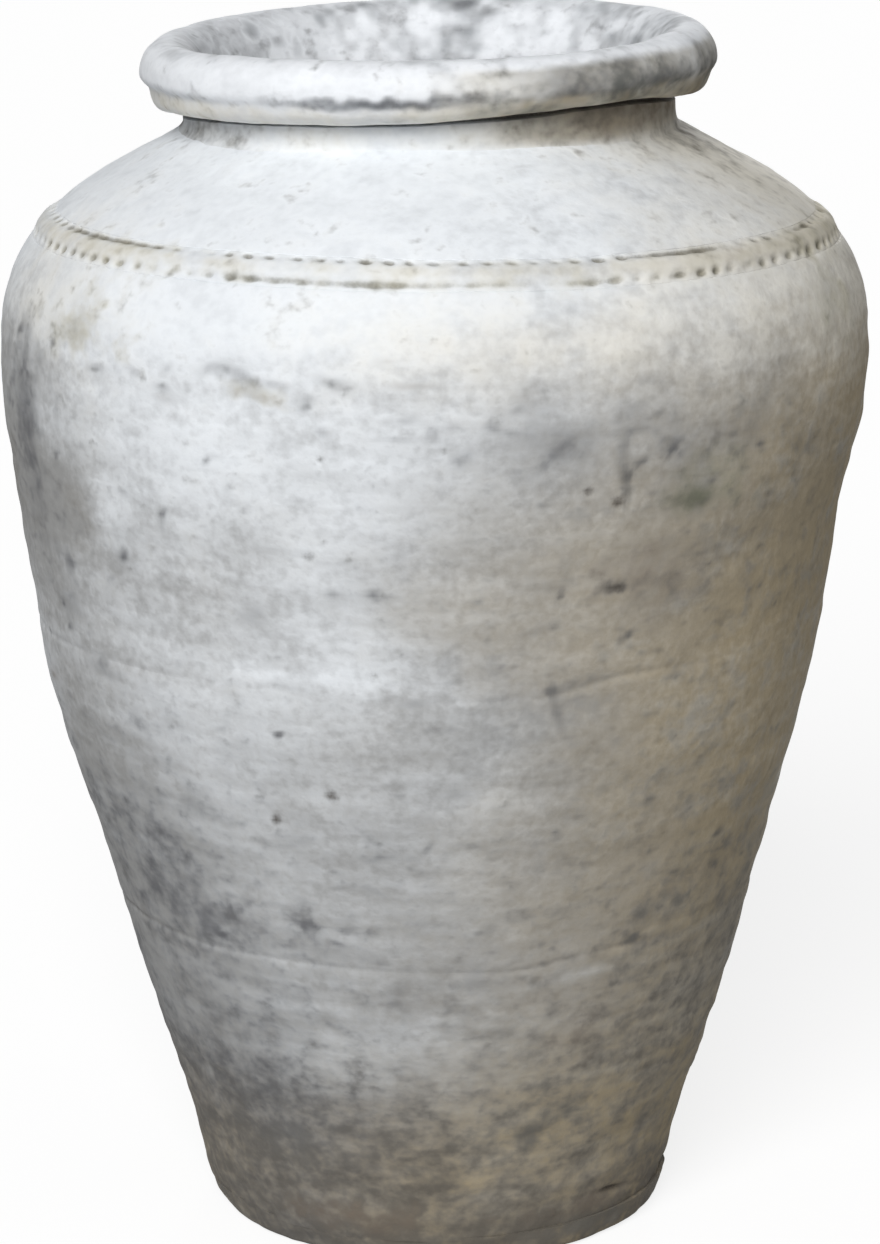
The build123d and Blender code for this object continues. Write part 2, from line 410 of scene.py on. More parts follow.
# The pits that show most; HandWork strews smaller ones among them
PITS = (
    Stain(Mark.PIT, -14, 0.711, 7, 6, 0.70),
    Stain(Mark.PIT, -14, 0.646, 7, 6, 0.55),
    Stain(Mark.PIT, -16, 0.632, 7, 6, 0.65),
    Stain(Mark.PIT, 1, 0.719, 6, 6, 0.60),
    Stain(Mark.PIT, 1, 0.630, 8, 6, 0.50),
    Stain(Mark.PIT, -44, 0.603, 7, 6, 0.60),
    Stain(Mark.PIT, -40, 0.658, 8, 6, 0.45),
    Stain(Mark.PIT, 19, 0.683, 8, 7, 1.00),
    Stain(Mark.PIT, 23, 0.673, 8, 7, 0.95),
    Stain(Mark.PIT, 24, 0.602, 12, 5, 0.90),
    Stain(Mark.PIT, 58, 0.696, 8, 6, 0.55),
    Stain(Mark.PIT, -24, 0.410, 10, 9, 1.00),
    Stain(Mark.PIT, -15, 0.435, 10, 9, 0.90),
    Stain(Mark.PIT, -8, 0.538, 7, 6, 0.60),
    Stain(Mark.PIT, -12, 0.481, 8, 6, 0.45),
    Stain(Mark.PIT, -22, 0.525, 8, 6, 0.45),
    Stain(Mark.PIT, 0, 0.496, 8, 7, 0.45),
    Stain(Mark.PIT, 38, 0.384, 8, 7, 0.50),
    Stain(Mark.PIT, -18, 0.871, 7, 6, 0.50),
)


@dataclass(frozen=True)
class Scatter:
    """Marks strewn at random: their number and kinds, and the range of each of their measures."""

    count: int
    kinds: tuple[Mark, ...]
    azimuth: tuple[float, float]
    height: tuple[float, float]
    rise: tuple[float, float]
    stretch: tuple[float, float]
    strength: tuple[float, float]
    tilt: tuple[float, float]

    def strewn(self, draw: np.random.Generator) -> list[Stain]:
        """Draws the marks.

        Args:
            draw: Source of the random numbers.

        Returns:
            The marks in the order of drawing.
        """
        marks = []
        for _ in range(self.count):
            kind = self.kinds[draw.integers(len(self.kinds))]
            place = (draw.uniform(*self.azimuth), draw.uniform(*self.height))
            rise = draw.uniform(*self.rise)
            size = (rise * draw.uniform(*self.stretch), rise)
            marks.append(Stain(kind, *place, *size, draw.uniform(*self.strength), draw.uniform(*self.tilt)))
        return marks


# Marks of the side that faces away, and fine flecks all round
BACK_MARKS = Scatter(
    count=70,
    kinds=(Mark.SOOT_AND_SHADE, Mark.SOOT_AND_SHADE, Mark.SOIL, Mark.OCHRE, Mark.LIME),
    azimuth=(72.0, 288.0),
    height=(0.05, 0.80),
    rise=(6.0, 30.0),
    stretch=(1.4, 4.0),
    strength=(0.28, 0.5),
    tilt=(-20.0, 20.0),
)
FLECKS = Scatter(
    count=220,
    kinds=(Mark.SOOT_AND_SHADE,),
    azimuth=(-180.0, 180.0),
    height=(0.28, 0.80),
    rise=(3.5, 6.5),
    stretch=(1.0, 2.6),
    strength=(0.3, 0.6),
    tilt=(-20.0, 55.0),
)


@dataclass(frozen=True)
class Ripple:
    """One layer of bumps: its noise, and the depth, width and height of a bump in millimetres."""

    noise: Lattice
    depth: float
    wide: float
    tall: float


@dataclass(frozen=True)
class JointLine:
    """The line where two stages were luted together: its depth and half width in metres, and its dirt."""

    joint: Station
    depth: float
    half: float
    dirt: float


@dataclass(frozen=True)
class Zone:
    """A soft zone of the wall: what it adds, its height and half height in metres, and where it lies.

    It fades in from one side to another, on the scale of rightward. With no side given it goes all round.
    """

    amount: float
    height: float
    half: float
    starts: float = -3.0
    full: float = -2.0

    def on(self, height: np.ndarray, side: np.ndarray) -> np.ndarray:
        """Gives what the zone adds at each point."""
        return self.amount * bell(height - self.height, self.half) * ramp(side, self.starts, self.full)


@dataclass(frozen=True)
class Bloom:
    """A soft patch of the wall: what it adds, its height and half height, its azimuth and half width."""

    amount: float
    height: float
    half: float
    azimuth: float
    spread: float

    def on(self, height: np.ndarray, azimuth: np.ndarray) -> np.ndarray:
        """Gives what the patch adds at each point."""
        across = bell(azimuth - self.azimuth, self.spread)
        return self.amount * bell(height - self.height, self.half) * across


# Slow bulges, the rings of the building, dents and the clay's own grain
WALL_RIPPLES = (
    Ripple(Lattice.BROAD, 2.2, 270.0, 270.0),
    Ripple(Lattice.FINE, 0.6, 420.0, 30.0),
    Ripple(Lattice.BROAD, 0.5, 100.0, 17.0),
    Ripple(Lattice.FINE, 0.8, 55.0, 55.0),
    Ripple(Lattice.BROAD, 0.6, 24.0, 24.0),
    Ripple(Lattice.FINE, 0.3, 10.5, 10.5),
)
# Drag marks and lumps of the rougher lower wall
LOWER_RIPPLES = (Ripple(Lattice.FINE, 0.8, 45.0, 11.0), Ripple(Lattice.BROAD, 0.5, 15.0, 15.0))
JOINT_LINES = (
    JointLine(LOWER_JOINT, 1.5 * MM, 3.0 * MM, 0.62),
    JointLine(MIDDLE_JOINT, 1.1 * MM, 2.8 * MM, 0.36),
    JointLine(BELLY_JOINT, 0.5 * MM, 4.0 * MM, 0.20),
)
# A slight flat on the right, clay smeared over the foot, thinner on the right, and a dip beside the neck
SWELLS = (
    Zone(-5.2 * MM, 0.622, 0.055, 0.50, 0.92),
    Zone(2.75 * MM, 0.030, 0.038),
    Zone(2.75 * MM, 0.030, 0.038, 0.7, 0.1),
    Zone(-3.0 * MM, NECK_FOOT.height, 0.020, 0.3, 0.9),
)
# Wash worn thin under the belly, low on the left, and above the belly's joint in front
WASH_ZONES = (Zone(-0.07, 0.635, 0.06, 0.1, -0.2), Zone(-0.16, 0.36, 0.13, -0.40, -0.80))
WASH_BLOOMS = (Bloom(-0.10, 0.775, 0.022, -2.0, 16.0),)
# Dirt about the lower joint and over the foot, and dirt with painted shade in the crook of neck and
# shoulder on both sides
GRIME_AND_SHADE_ZONES = (
    Zone(0.16, 0.27, 0.10, 0.2, 0.6),
    Zone(0.16, 0.16, 0.07, -0.25, -0.65),
    Zone(0.16, 0.35, 0.11, -0.40, -0.75),
    # Dirt and painted shade in the crook of neck and shoulder
    Zone(0.30, NECK_FOOT.height, 0.014, -0.4, -0.8),
    Zone(0.08, NECK_FOOT.height, 0.014, 0.4, 0.8),
)
# Cream tones between the belly and the strip
WARM_BLOOMS = (Bloom(0.46, 0.795, 0.040, 10.0, 28.0), Bloom(0.45, 0.81, 0.055, -64.0, 16.0))


class HandWork:
    """What hands, wet clay and weather leave on the jar: its bumps, joint lines, pits, wash and dirt, with
    painted shade laid in with the dirt in places.
    """

    SCATTER_SEED = 37
    PIT_COUNT = 90
    PIT_HEIGHT = (0.03, 0.80)
    PIT_RISE = (3.0, 6.5)
    PIT_STRETCH = (1.0, 1.8)
    PIT_STRENGTH = (0.2, 0.5)
    PIT_DEPTH = 1.2 * MM
    MARK_REACH = 2.2
    SWAY = 4.5 * MM
    JOINT_WANDER = 4.0 * MM
    JOINT_STEP = 8.0 * MM
    JOINT_DIRT_HALF = 3.6 * MM
    CRACK_DEPTH = 4.5 * MM
    CRACK_HALF = 3.4 * MM
    # Cover of the wash at heights up the wall, on the left and on the right
    LEVELS = (0.0, 0.15, 0.31, 0.43, 0.57, 0.72, 0.755, 0.79, 0.85, 0.93)
    WASHED = (0.20, 0.24, 0.29, 0.39, 0.50, 0.55, 0.55, 0.73, 0.82, 0.84)
    WORN = (0.20, 0.22, 0.21, 0.25, 0.22, 0.28, 0.40, 0.58, 0.70, 0.76)
    # Dirt at heights up the wall
    GRIME_LEVELS = (0.0, 0.06, 0.10, 0.15, 0.20, 0.31, 0.50, 0.80)
    GRIME = (0.84, 0.79, 0.73, 0.57, 0.36, 0.26, 0.13, 0.0)

    def __init__(self) -> None:
        """Draws the noise, the scattered pits and flecks, and the marks of the side that faces away."""
        self.broad = Unevenness(Lattice.BROAD.value)
        self.fine = Unevenness(Lattice.FINE.value)
        draw = np.random.default_rng(self.SCATTER_SEED)
        self.pits = list(PITS)
        for _ in range(self.PIT_COUNT):
            rise = draw.uniform(*self.PIT_RISE)
            place = (draw.uniform(-180.0, 180.0), draw.uniform(*self.PIT_HEIGHT))
            width = rise * draw.uniform(*self.PIT_STRETCH)
            self.pits.append(Stain(Mark.PIT, *place, width, rise, draw.uniform(*self.PIT_STRENGTH)))
        self.marks = [*STAINS, *BACK_MARKS.strewn(draw), *FLECKS.strewn(draw)]

    @staticmethod
    def polar(points: np.ndarray) -> tuple[np.ndarray, np.ndarray, np.ndarray]:
        """Splits points into degrees right of the front, distance from the axis and height."""
        azimuth = np.degrees(np.arctan2(points[:, 0], -points[:, 1]))
        return azimuth, np.hypot(points[:, 0], points[:, 1]), points[:, 2]

    def gathered(self, stains: list[Stain], points: np.ndarray) -> np.ndarray:
        """Adds up marks of one kind.

        Args:
            stains: Marks to add.
            points: Places on the wall.

        Returns:
            Their strength at each point, at most 1.
        """
        azimuth, radius, height = self.polar(points)
        ragged = self.fine.round(points, 0.016) + 0.6 * self.broad.round(points, 0.007)
        total = np.zeros(len(points))
        for stain in stains:
            reach = self.MARK_REACH * MM * max(stain.width, stain.rise)
            near = np.abs(height - stain.height) < reach
            if near.any():
                total[near] += stain.weight(azimuth[near], height[near], radius[near], ragged[near])
        return np.clip(total, 0.0, 1.0)

    def kind(self, mark: Mark, points: np.ndarray) -> np.ndarray:
        """Adds up the stains of one kind."""
        return self.gathered([stain for stain in self.marks if stain.mark is mark], points)

    def rippled(self, ripples: tuple[Ripple, ...], points: np.ndarray) -> np.ndarray:
        """Adds up layers of bumps.

        Args:
            ripples: Layers to add.
            points: Places on the even clay.

        Returns:
            Outward move of each point in metres.
        """
        fields = {Lattice.BROAD: self.broad, Lattice.FINE: self.fine}
        total = np.zeros(len(points))
        for ripple in ripples:
            size = (ripple.wide * MM, ripple.wide * MM, ripple.tall * MM)
            total += ripple.depth * MM * fields[ripple.noise].at(points, size)
        return total

    def crease(self, points: np.ndarray, joint: Station, depth: float, spread: float) -> np.ndarray:
        """Gives the line where two stages were luted together.

        Args:
            points: Places on the wall.
            joint: Station of the joint.
            depth: Deepest part of the line in metres.
            spread: Half its width in metres.

        Returns:
            Outward move of each point in metres.
        """
        ring = points * LEVEL_ONLY
        azimuth = self.polar(points)[0]
        # The line wanders, and steps up right of the front
        wander = self.JOINT_WANDER * self.broad.round(ring, 0.10)
        step_up = self.JOINT_STEP * ramp(azimuth, 12.0, 28.0)
        away = points[:, 2] - joint.height - wander - step_up
        force = ramp(self.fine.round(ring, 0.12) + 0.5 * self.broad.round(ring, 0.04), -0.45, 0.55)
        # It is smoothed away left and far right of the front, and left sharp beside the front
        low = ramp(joint.height, MIDDLE_JOINT.height, LOWER_JOINT.height)
        smoothed = (0.6 - 0.5 * low) * bell(azimuth + 30.0, 45.0) + 0.85 * bell(azimuth - 54.0, 22.0)
        sharp = 0.35 * bell(azimuth - 14.0, 14.0) + 0.4 * low * bell(azimuth + 36.0, 18.0)
        force = force * (1.0 - smoothed) + sharp
        lip = 0.4 * bell(away + 2.6 * spread, 2.0 * spread)
        return depth * (0.12 + 0.88 * force) * (lip - bell(away, spread))

    def slab_edge(self, points: np.ndarray) -> np.ndarray:
        """Gives the crack over the slab's edge, which shows on the right alone.

        Args:
            points: Places on the wall.

        Returns:
            Share of the crack's full depth at each point.
        """
        azimuth, _, height = self.polar(points)
        ring = points * LEVEL_ONLY
        level = 0.045 - 0.016 * ramp(azimuth, 38.0, 80.0) + 0.003 * self.broad.round(ring, 0.06)
        broken = np.clip(0.70 + 0.8 * self.fine.round(ring, 0.022), 0.2, 1.0)
        shown = ramp(azimuth, 14.0, 48.0) * ramp(azimuth, 118.0, 96.0)
        return broken * bell(height - level, self.CRACK_HALF) * shown

    def relief(self, points: np.ndarray) -> np.ndarray:
        """Gives the bumps of the outer wall.

        Args:
            points: Places on the even wall.

        Returns:
            Outward move of each point in metres.
        """
        azimuth, _, height = self.polar(points)
        side = rightward(azimuth)
        move = -self.SWAY * bell(height - 0.49, 0.20) * side
        move += self.rippled(WALL_RIPPLES, points)
        move += ramp(height, 0.30, 0.12) * self.rippled(LOWER_RIPPLES, points)
        for line in JOINT_LINES:
            move += self.crease(points, line.joint, line.depth, line.half)
        for swell in SWELLS:
            move += swell.on(height, side)
        move -= self.PIT_DEPTH * self.gathered(self.pits, points)
        return move - self.CRACK_DEPTH * self.slab_edge(points)

    def weather(self, points: np.ndarray) -> Shares:
        """Grades wash, dirt and painted shade over the outer wall.

        Args:
            points: Places on the wall.

        Returns:
            One set of shares for each attribute that the finishes read.
        """
        azimuth, _, height = self.polar(points)
        cloud = self.broad.round(points, 0.13) + 0.5 * self.fine.round(points, 0.055)
        facing = rightward(azimuth)
        side = facing + 0.14 * cloud

        # Wash: thick above, thin on the right, nearly gone along the belly's left edge, where the thinning
        # is painted shade
        washed = np.interp(height, self.LEVELS, self.WASHED)
        worn = np.interp(height, self.LEVELS, self.WORN)
        right = ramp(side + 0.20 * bell(height - 0.60, 0.12), -0.02, 0.38)
        wash = washed + (worn - washed) * right + 0.12 * cloud + 0.8 * self.kind(Mark.LIME, points)
        # Painted shade along the belly's left edge: the wash is taken off there
        edge = ramp(side, -0.64, -0.96) * ramp(azimuth, -118.0, -84.0)
        wash -= 0.34 * edge * ramp(height, 0.88, 0.70) * ramp(height, 0.50, 0.68)
        wash += sum(zone.on(height, side) for zone in WASH_ZONES)
        wash += sum(bloom.on(height, azimuth) for bloom in WASH_BLOOMS)

        # Dirt: heavy at the foot, but rubbed off above it on the right, and some right of the neck
        grime_and_shade = np.interp(height, self.GRIME_LEVELS, self.GRIME) + 0.12 * cloud
        grime_and_shade -= 0.24 * ramp(side, 0.0, 0.3) * ramp(height, 0.2, 0.1) * ramp(height, 0.03, 0.07)
        grime_and_shade += 0.26 * ramp(side, 0.42, 0.80) * ramp(height, 0.80, 0.85)
        grime_and_shade += sum(zone.on(height, side) for zone in GRIME_AND_SHADE_ZONES)

        # Warmth: grey on the left, turning to brown towards the right and the foot
        lower = ramp(height, 0.42, 0.22)
        turn = facing + 0.20 * cloud + 0.12 + 0.25 * lower - 0.42 * ramp(height, 0.56, 0.86)
        warm = 0.05 + (0.94 - 0.24 * lower) * np.clip(turn / (0.80 + 0.35 * lower), 0.0, 1.0)
        warm += 0.62 * ramp(height, 0.24, 0.06)
        warm += sum(bloom.on(height, azimuth) for bloom in WARM_BLOOMS)

        # Ochre: a trace all over, more at the right edge and along the strip
        ochre = 0.04 + 0.12 * ramp(side, 0.70, 0.95) + 0.1 * self.fine.round(points, 0.09)
        ochre += 0.22 * bell(up_the_band(points), 1.3) + self.kind(Mark.OCHRE, points)

        # Dirt held in pits, in the crack over the slab and in the joint lines
        hollow_dirt_and_shade = self.gathered(self.pits, points) + 1.1 * self.slab_edge(points)
        for line in JOINT_LINES:
            dirt = -line.dirt * self.crease(points, line.joint, 1.0, self.JOINT_DIRT_HALF)
            hollow_dirt_and_shade += np.clip(dirt, 0.0, 1.0)
        shares = {"wash": wash, "grime_and_shade": grime_and_shade, "warm": warm, "ochre": ochre, "hollow_dirt_and_shade": hollow_dirt_and_shade}
        shares.update({mark.value: self.kind(mark, points) for mark in (Mark.MOSS, Mark.SOOT_AND_SHADE, Mark.SOIL)})
        return limited(shares)


def add(
    tree: bpy.types.NodeTree,
    kind: str,
    settings: dict[str, Any] | None = None,
    inputs: dict[int | str, Any] | None = None,
) -> bpy.types.Node:
    """Adds one node with its settings, values and links.

    Args:
        tree: Node tree to add to.
        kind: Blender's name of the node's type.
        settings: Properties to set on the node.
        inputs: A value, or an output socket to link, for each input.

    Returns:
        The new node.
    """
    node = tree.nodes.new(kind)
    for name, value in (settings or {}).items():
        setattr(node, name, value)
    for place, value in (inputs or {}).items():
        if isinstance(value, bpy.types.NodeSocket):
            tree.links.new(value, node.inputs[place])
        else:
            node.inputs[place].default_value = value
    return node


@dataclass(frozen=True)
class Pattern:
    """One pattern of marks: width of a mark in millimetres, how flat it lies, and its finer detail."""

    width_mm: float
    flat: float
    detail: float
    rough: float


# Clouds of wash, the brush's strokes, blotches, dark flecks, wiping marks, the clay's grain and its grit.
# Real grit is finer than a millimetre: it is drawn at 2.2 mm, so that it still shows in the picture.
PATTERNS = {
    "cloud": Pattern(70.0, 1.0, 3.0, 0.55),
    "stroke": Pattern(90.0, 6.0, 1.5, 0.55),
    "mottle": Pattern(24.0, 1.25, 2.5, 0.58),
    "fleck": Pattern(17.0, 1.6, 1.0, 0.40),
    "wipe": Pattern(26.0, 3.2, 1.0, 0.50),
    "grain": Pattern(8.0, 1.1, 2.0, 0.50),
    "grit": Pattern(2.2, 1.0, 2.0, 0.50),
}
SHARES = ("wash", "grime_and_shade", "warm", "ochre", "moss", "soot_and_shade", "soil_and_shade", "hollow_dirt_and_shade")


@dataclass(frozen=True)
class Coat:
    """One thin coat on the clay: what it follows and by how much, where it starts and where it is full."""

    follows: dict[str, float]
    starts: float = 0.0
    full: float = 1.0

    def level(self, tree: bpy.types.NodeTree, fields: Fields) -> Any:
        """Adds up what the coat follows.

        Args:
            tree: Node tree to add to.
            fields: Outputs of the patterns and shares.

        Returns:
            The output with the sum.
        """
        total: Any = 0.0
        for name, weight in self.follows.items():
            values = {0: fields[name], 1: weight, 2: total}
            total = add(tree, "ShaderNodeMath", {"operation": "MULTIPLY_ADD"}, values).outputs[0]
        return total

    def share(self, tree: bpy.types.NodeTree, fields: Fields) -> Any:
        """Grades how far the coat covers each point.

        Args:
            tree: Node tree to add to.
            fields: Outputs of the patterns and shares.

        Returns:
            The output with the share, from 0 to 1.
        """
        limits = {"Value": self.level(tree, fields), "From Min": self.starts, "From Max": self.full}
        return add(tree, "ShaderNodeMapRange", {"interpolation_type": "SMOOTHSTEP"}, limits).outputs[0]

    def laid(self, tree: bpy.types.NodeTree, fields: Fields, under: Any, over: Any) -> Any:
        """Lays the coat over a colour.

        Args:
            tree: Node tree to add to.
            fields: Outputs of the patterns and shares.
            under: Colour, or the output with the colour, that the coat lies on.
            over: Colour, or the output with the colour, of the coat.

        Returns:
            The output with the mixed colour.
        """
        colours = {"Factor": self.share(tree, fields), MIX_UNDER: under, MIX_OVER: over}
        return add(tree, "ShaderNodeMix", COLOUR_MIX, colours).outputs[MIX_RESULT]


@dataclass(frozen=True)
class LimewashedClay:
    """Coarse fired earthenware under brushed limewash that rain and hands have worn.

    The wash is chalky and matt, thick in some strokes and thin in others, so the buff clay and its dirt
    show through in broken patches and streaks, with dark flecks, grit and pits, and a tinge of green where
    damp stays.
    """

    name: str
    clay_pale: str = "#A6A6A5"
    clay_deep: str = "#75726D"
    clay_warm: str = "#AB9D82"
    lime_cool: str = "#EBEFF3"
    lime_warm: str = "#E4E0D5"
    # Dirt, soot, soil and pit colours; they also lay painted shade where the shares call for it
    dirt: str = "#635E56"
    dirt_cool: str = "#5F6165"
    ochre: str = "#B4AE97"
    moss: str = "#6D6F5F"
    soot_and_shade: str = "#6C6962"
    soot_and_shade_cool: str = "#67686B"
    soil_and_shade: str = "#786B5D"
    pit: str = "#4A443D"
    cover: float = 1.0
    roughness: float = 0.9
    wash_roughness: float = 0.82
    ior: float = 1.5
    specular: float = 0.25
    bump: float = 0.5
    bump_mm: float = 2.2

    def fields(self, tree: bpy.types.NodeTree) -> Fields:
        """Adds the patterns, and reads the shares that the pieces hold.

        Args:
            tree: Node tree to add to.

        Returns:
            The output of each, by name.
        """
        place = add(tree, "ShaderNodeTexCoord").outputs["Object"]
        found = {}
        for name, pattern in PATTERNS.items():
            scale = 1.0 / (pattern.width_mm * MM)
            spread = {"Vector": place, "Scale": (scale, scale, scale * pattern.flat)}
            spot = add(tree, "ShaderNodeMapping", inputs=spread).outputs[0]
            marks = {"Vector": spot, "Scale": 1.0, "Detail": pattern.detail, "Roughness": pattern.rough}
            found[name] = add(tree, "ShaderNodeTexNoise", inputs=marks).outputs[0]
        for name in SHARES:
            found[name] = add(tree, "ShaderNodeAttribute", {"attribute_name": name}).outputs["Fac"]
        return found

    def colour(self, tree: bpy.types.NodeTree, fields: Fields) -> Any:
        """Lays the coats from the bare clay outwards.

        Args:
            tree: Node tree to add to.
            fields: Outputs of the patterns and shares; the wash's cover is added to them.

        Returns:
            The output with the finished colour.
        """
        turning = Coat({"warm": 1.0, "cloud": 0.5, "mottle": 0.5}, 0.5, 1.5).share(tree, fields)
        tints = []
        for cool, warm in (
            (self.clay_pale, self.clay_warm),
            (self.lime_cool, self.lime_warm),
            (self.dirt_cool, self.dirt),
            (self.soot_and_shade_cool, self.soot_and_shade),
        ):
            mixed = {"Factor": turning, MIX_UNDER: linear(cool), MIX_OVER: linear(warm)}
            tints.append(add(tree, "ShaderNodeMix", COLOUR_MIX, mixed).outputs[MIX_RESULT])
        clay, lime, dirt, soot_and_shade = tints
        darkened = Coat({"cloud": 0.5, "mottle": 0.5}, 0.40, 0.78)
        clay = darkened.laid(tree, fields, clay, linear(self.clay_deep))
        wash = {"wash": 1.35 * self.cover, "stroke": 0.36, "cloud": 0.45, "mottle": 0.50, "grain": 0.36}
        fields["cover"] = Coat(wash, 0.92, 1.92).share(tree, fields)
        mixed = {"Factor": fields["cover"], MIX_UNDER: clay, MIX_OVER: lime}
        colour = add(tree, "ShaderNodeMix", COLOUR_MIX, mixed).outputs[MIX_RESULT]
        smeared = {"mottle": 0.68, "grain": 0.4}
        streaked = {"cloud": 0.4, "wipe": 0.3, "mottle": 1.1, "grain": 0.6}
        coats = (
            (Coat({"ochre": 0.9, "cloud": 0.35, "mottle": 0.75}, 0.70, 1.45), linear(self.ochre)),
            (Coat({"grime_and_shade": 1.0, **streaked}, 1.29, 2.24), dirt),
            (Coat({"moss": 1.0, **smeared}, 0.60, 1.54), linear(self.moss)),
            (Coat({"soil_and_shade": 1.0, **smeared}, 0.60, 1.54), linear(self.soil_and_shade)),
            (Coat({"soot_and_shade": 1.0, **smeared}, 0.60, 1.54), soot_and_shade),
            (Coat({"fleck": 1.0, "mottle": 0.2, "wash": -0.42}, 0.56, 1.16), soot_and_shade),
            (Coat({"hollow_dirt_and_shade": 1.0, "grit": 0.3}, 0.35, 1.30), linear(self.pit)),
        )
        for coat, over in coats:
            colour = coat.laid(tree, fields, colour, over)
        uneven = Coat({"cloud": 0.36, "mottle": 0.36, "wipe": 0.06, "grain": 0.22}).level(tree, fields)
        limits = {"Value": uneven, "From Min": 0.37, "From Max": 0.63, "To Min": 0.87, "To Max": 1.08}
        tone = add(tree, "ShaderNodeMapRange", inputs=limits).outputs[0]
        grey = add(tree, "ShaderNodeCombineColor", inputs={"Red": tone, "Green": tone, "Blue": tone})
        toned = {"Factor": 1.0, MIX_UNDER: colour, MIX_OVER: grey.outputs[0]}
        multiply = {**COLOUR_MIX, "blend_type": "MULTIPLY"}
        return add(tree, "ShaderNodeMix", multiply, toned).outputs[MIX_RESULT]

    def material(self) -> bpy.types.Material:
        """Builds the material.

        Returns:
            The finished material.
        """
        made = bpy.data.materials.new(self.name)
        made.use_nodes = True
        tree = made.node_tree
        tree.nodes.clear()
        fields = self.fields(tree)
        colour = self.colour(tree, fields)
        trowelled = {"stroke": 0.20, "wipe": 0.22, "mottle": 0.35}
        raised = Coat({**trowelled, "grain": 0.32, "grit": 0.06, "cover": 0.25}).level(tree, fields)
        bump = add(
            tree,
            "ShaderNodeBump",
            inputs={"Strength": self.bump, "Distance": self.bump_mm * MM, "Height": raised},
        )
        rough = add(
            tree,
            "ShaderNodeMapRange",
            inputs={"Value": fields["cover"], "To Min": self.roughness, "To Max": self.wash_roughness},
        )
        shader = add(
            tree,
            "ShaderNodeBsdfPrincipled",
            inputs={
                "Base Color": colour,
                "Roughness": rough.outputs[0],
                "IOR": self.ior,
                "Specular IOR Level": self.specular,
                "Normal": bump.outputs[0],
            },
        )
        add(tree, "ShaderNodeOutputMaterial", inputs={"Surface": shader.outputs[0]})
        return made


@dataclass(frozen=True)
class Side:
    """One side of a turned section: its line, its cuts, and whether it is the side that shows."""

    line: Curve
    cuts: int
    shows: float = 0.0


def straight(start: tuple[float, float], end: tuple[float, float]) -> Curve:
    """Gives a straight line between two points of a section.

    Args:
        start: Radius and height where it starts.
        end: Radius and height where it ends.

    Returns:
        The line of a section.
    """
    return lambda share: (
        start[0] + (end[0] - start[0]) * share,
        start[1] + (end[1] - start[1]) * share,
    )


def quarter(centre: tuple[float, float], wide: float, tall: float, first: float, last: float) -> Curve:
    """Gives an arc of an ellipse.

    Args:
        centre: Radius and height of the ellipse's centre.
        wide: Half its width.
        tall: Half its height.
        first: Degrees at the start, from outward towards upward.
        last: Degrees at the end.

    Returns:
        The arc as a line of a section.
    """

    def line(share: float) -> tuple[float, float]:
        """Gives the point at a share of the arc."""
        angle = math.radians(first + (last - first) * share)
        return centre[0] + wide * math.cos(angle), centre[1] + tall * math.sin(angle)

    return line


def crowded(share: float) -> float:
    """Draws the rows of a section closer together near its two ends."""
    return share - ROW_CROWDING * math.sin(TURN * share)


def turned(sides: list[Side], steps: int) -> bmesh.types.BMesh:
    """Spins a closed section about the upright axis: one wedge first, then copies of it, which is quicker.

    Args:
        sides: Sides of the section in order.
        steps: Steps of the full turn.

    Returns:
        A closed ring, with the layer shows marking the side that is seen.
    """
    clay = bmesh.new()
    shows = clay.verts.layers.float.new("shows")
    corners = []
    for place, side in enumerate(sides):
        radius, height = side.line(0.0)
        corner = clay.verts.new((radius, 0.0, height))
        corner[shows] = max(side.shows, sides[place - 1].shows)
        corners.append(corner)
    places = [corner.co.copy() for corner in corners]
    edges = [clay.edges.new((corners[place - 1], corners[place])) for place in range(len(corners))]
    for place, side in enumerate(sides):
        if side.cuts == 0:
            continue
        after = (place + 1) % len(sides)
        whole = (places[after] - places[place]).length
        cut = bmesh.ops.subdivide_edges(clay, edges=[edges[after]], cuts=side.cuts)
        shows = clay.verts.layers.float["shows"]
        for vert in cut["geom_inner"]:
            radius, height = side.line((vert.co - places[place]).length / whole)
            vert.co = (radius, 0.0, height)
            vert[shows] = side.shows
    section = clay.verts[:] + clay.edges[:]
    around = {"cent": (0, 0, 0), "axis": (0, 0, 1)}
    sector = TURN / SECTORS
    bmesh.ops.spin(clay, geom=section, angle=sector, steps=steps // SECTORS, **around)
    wedge = clay.verts[:] + clay.edges[:] + clay.faces[:]
    bmesh.ops.spin(clay, geom=wedge, angle=TURN - sector, steps=SECTORS - 1, use_duplicate=True, **around)
    bmesh.ops.remove_doubles(clay, verts=clay.verts[:], dist=MERGE_DISTANCE)
    bmesh.ops.recalc_face_normals(clay, faces=clay.faces[:])
    return clay


def up_the_band(points: np.ndarray) -> np.ndarray:
    """Gives how far points are up the strip over the shoulder's joint.

    Args:
        points: Places on the wall.

    Returns:
        Share of half the strip's width, from -1 at its lower edge to 1 at its upper edge.
    """
    along = SHOULDER_JOINT.along()
    run = np.hypot(points[:, 0], points[:, 1]) - SHOULDER_JOINT.radius
    climb = run * along[0] + (points[:, 2] - SHOULDER_JOINT.height) * along[1]
    return (climb - BAND_SHIFT) / (0.5 * BAND_WIDTH)


def lean_out(height: np.ndarray) -> np.ndarray:
    """Gives the way out of the wall at each height.

    Args:
        height: Metres above the floor.

    Returns:
        Directions as radius and height, one row each.
    """
    levels = [station.height for station in STATIONS]
    lean = np.radians(np.interp(height, levels, [station.lean for station in STATIONS]))
    return np.stack((np.cos(lean), -np.sin(lean)), axis=1)


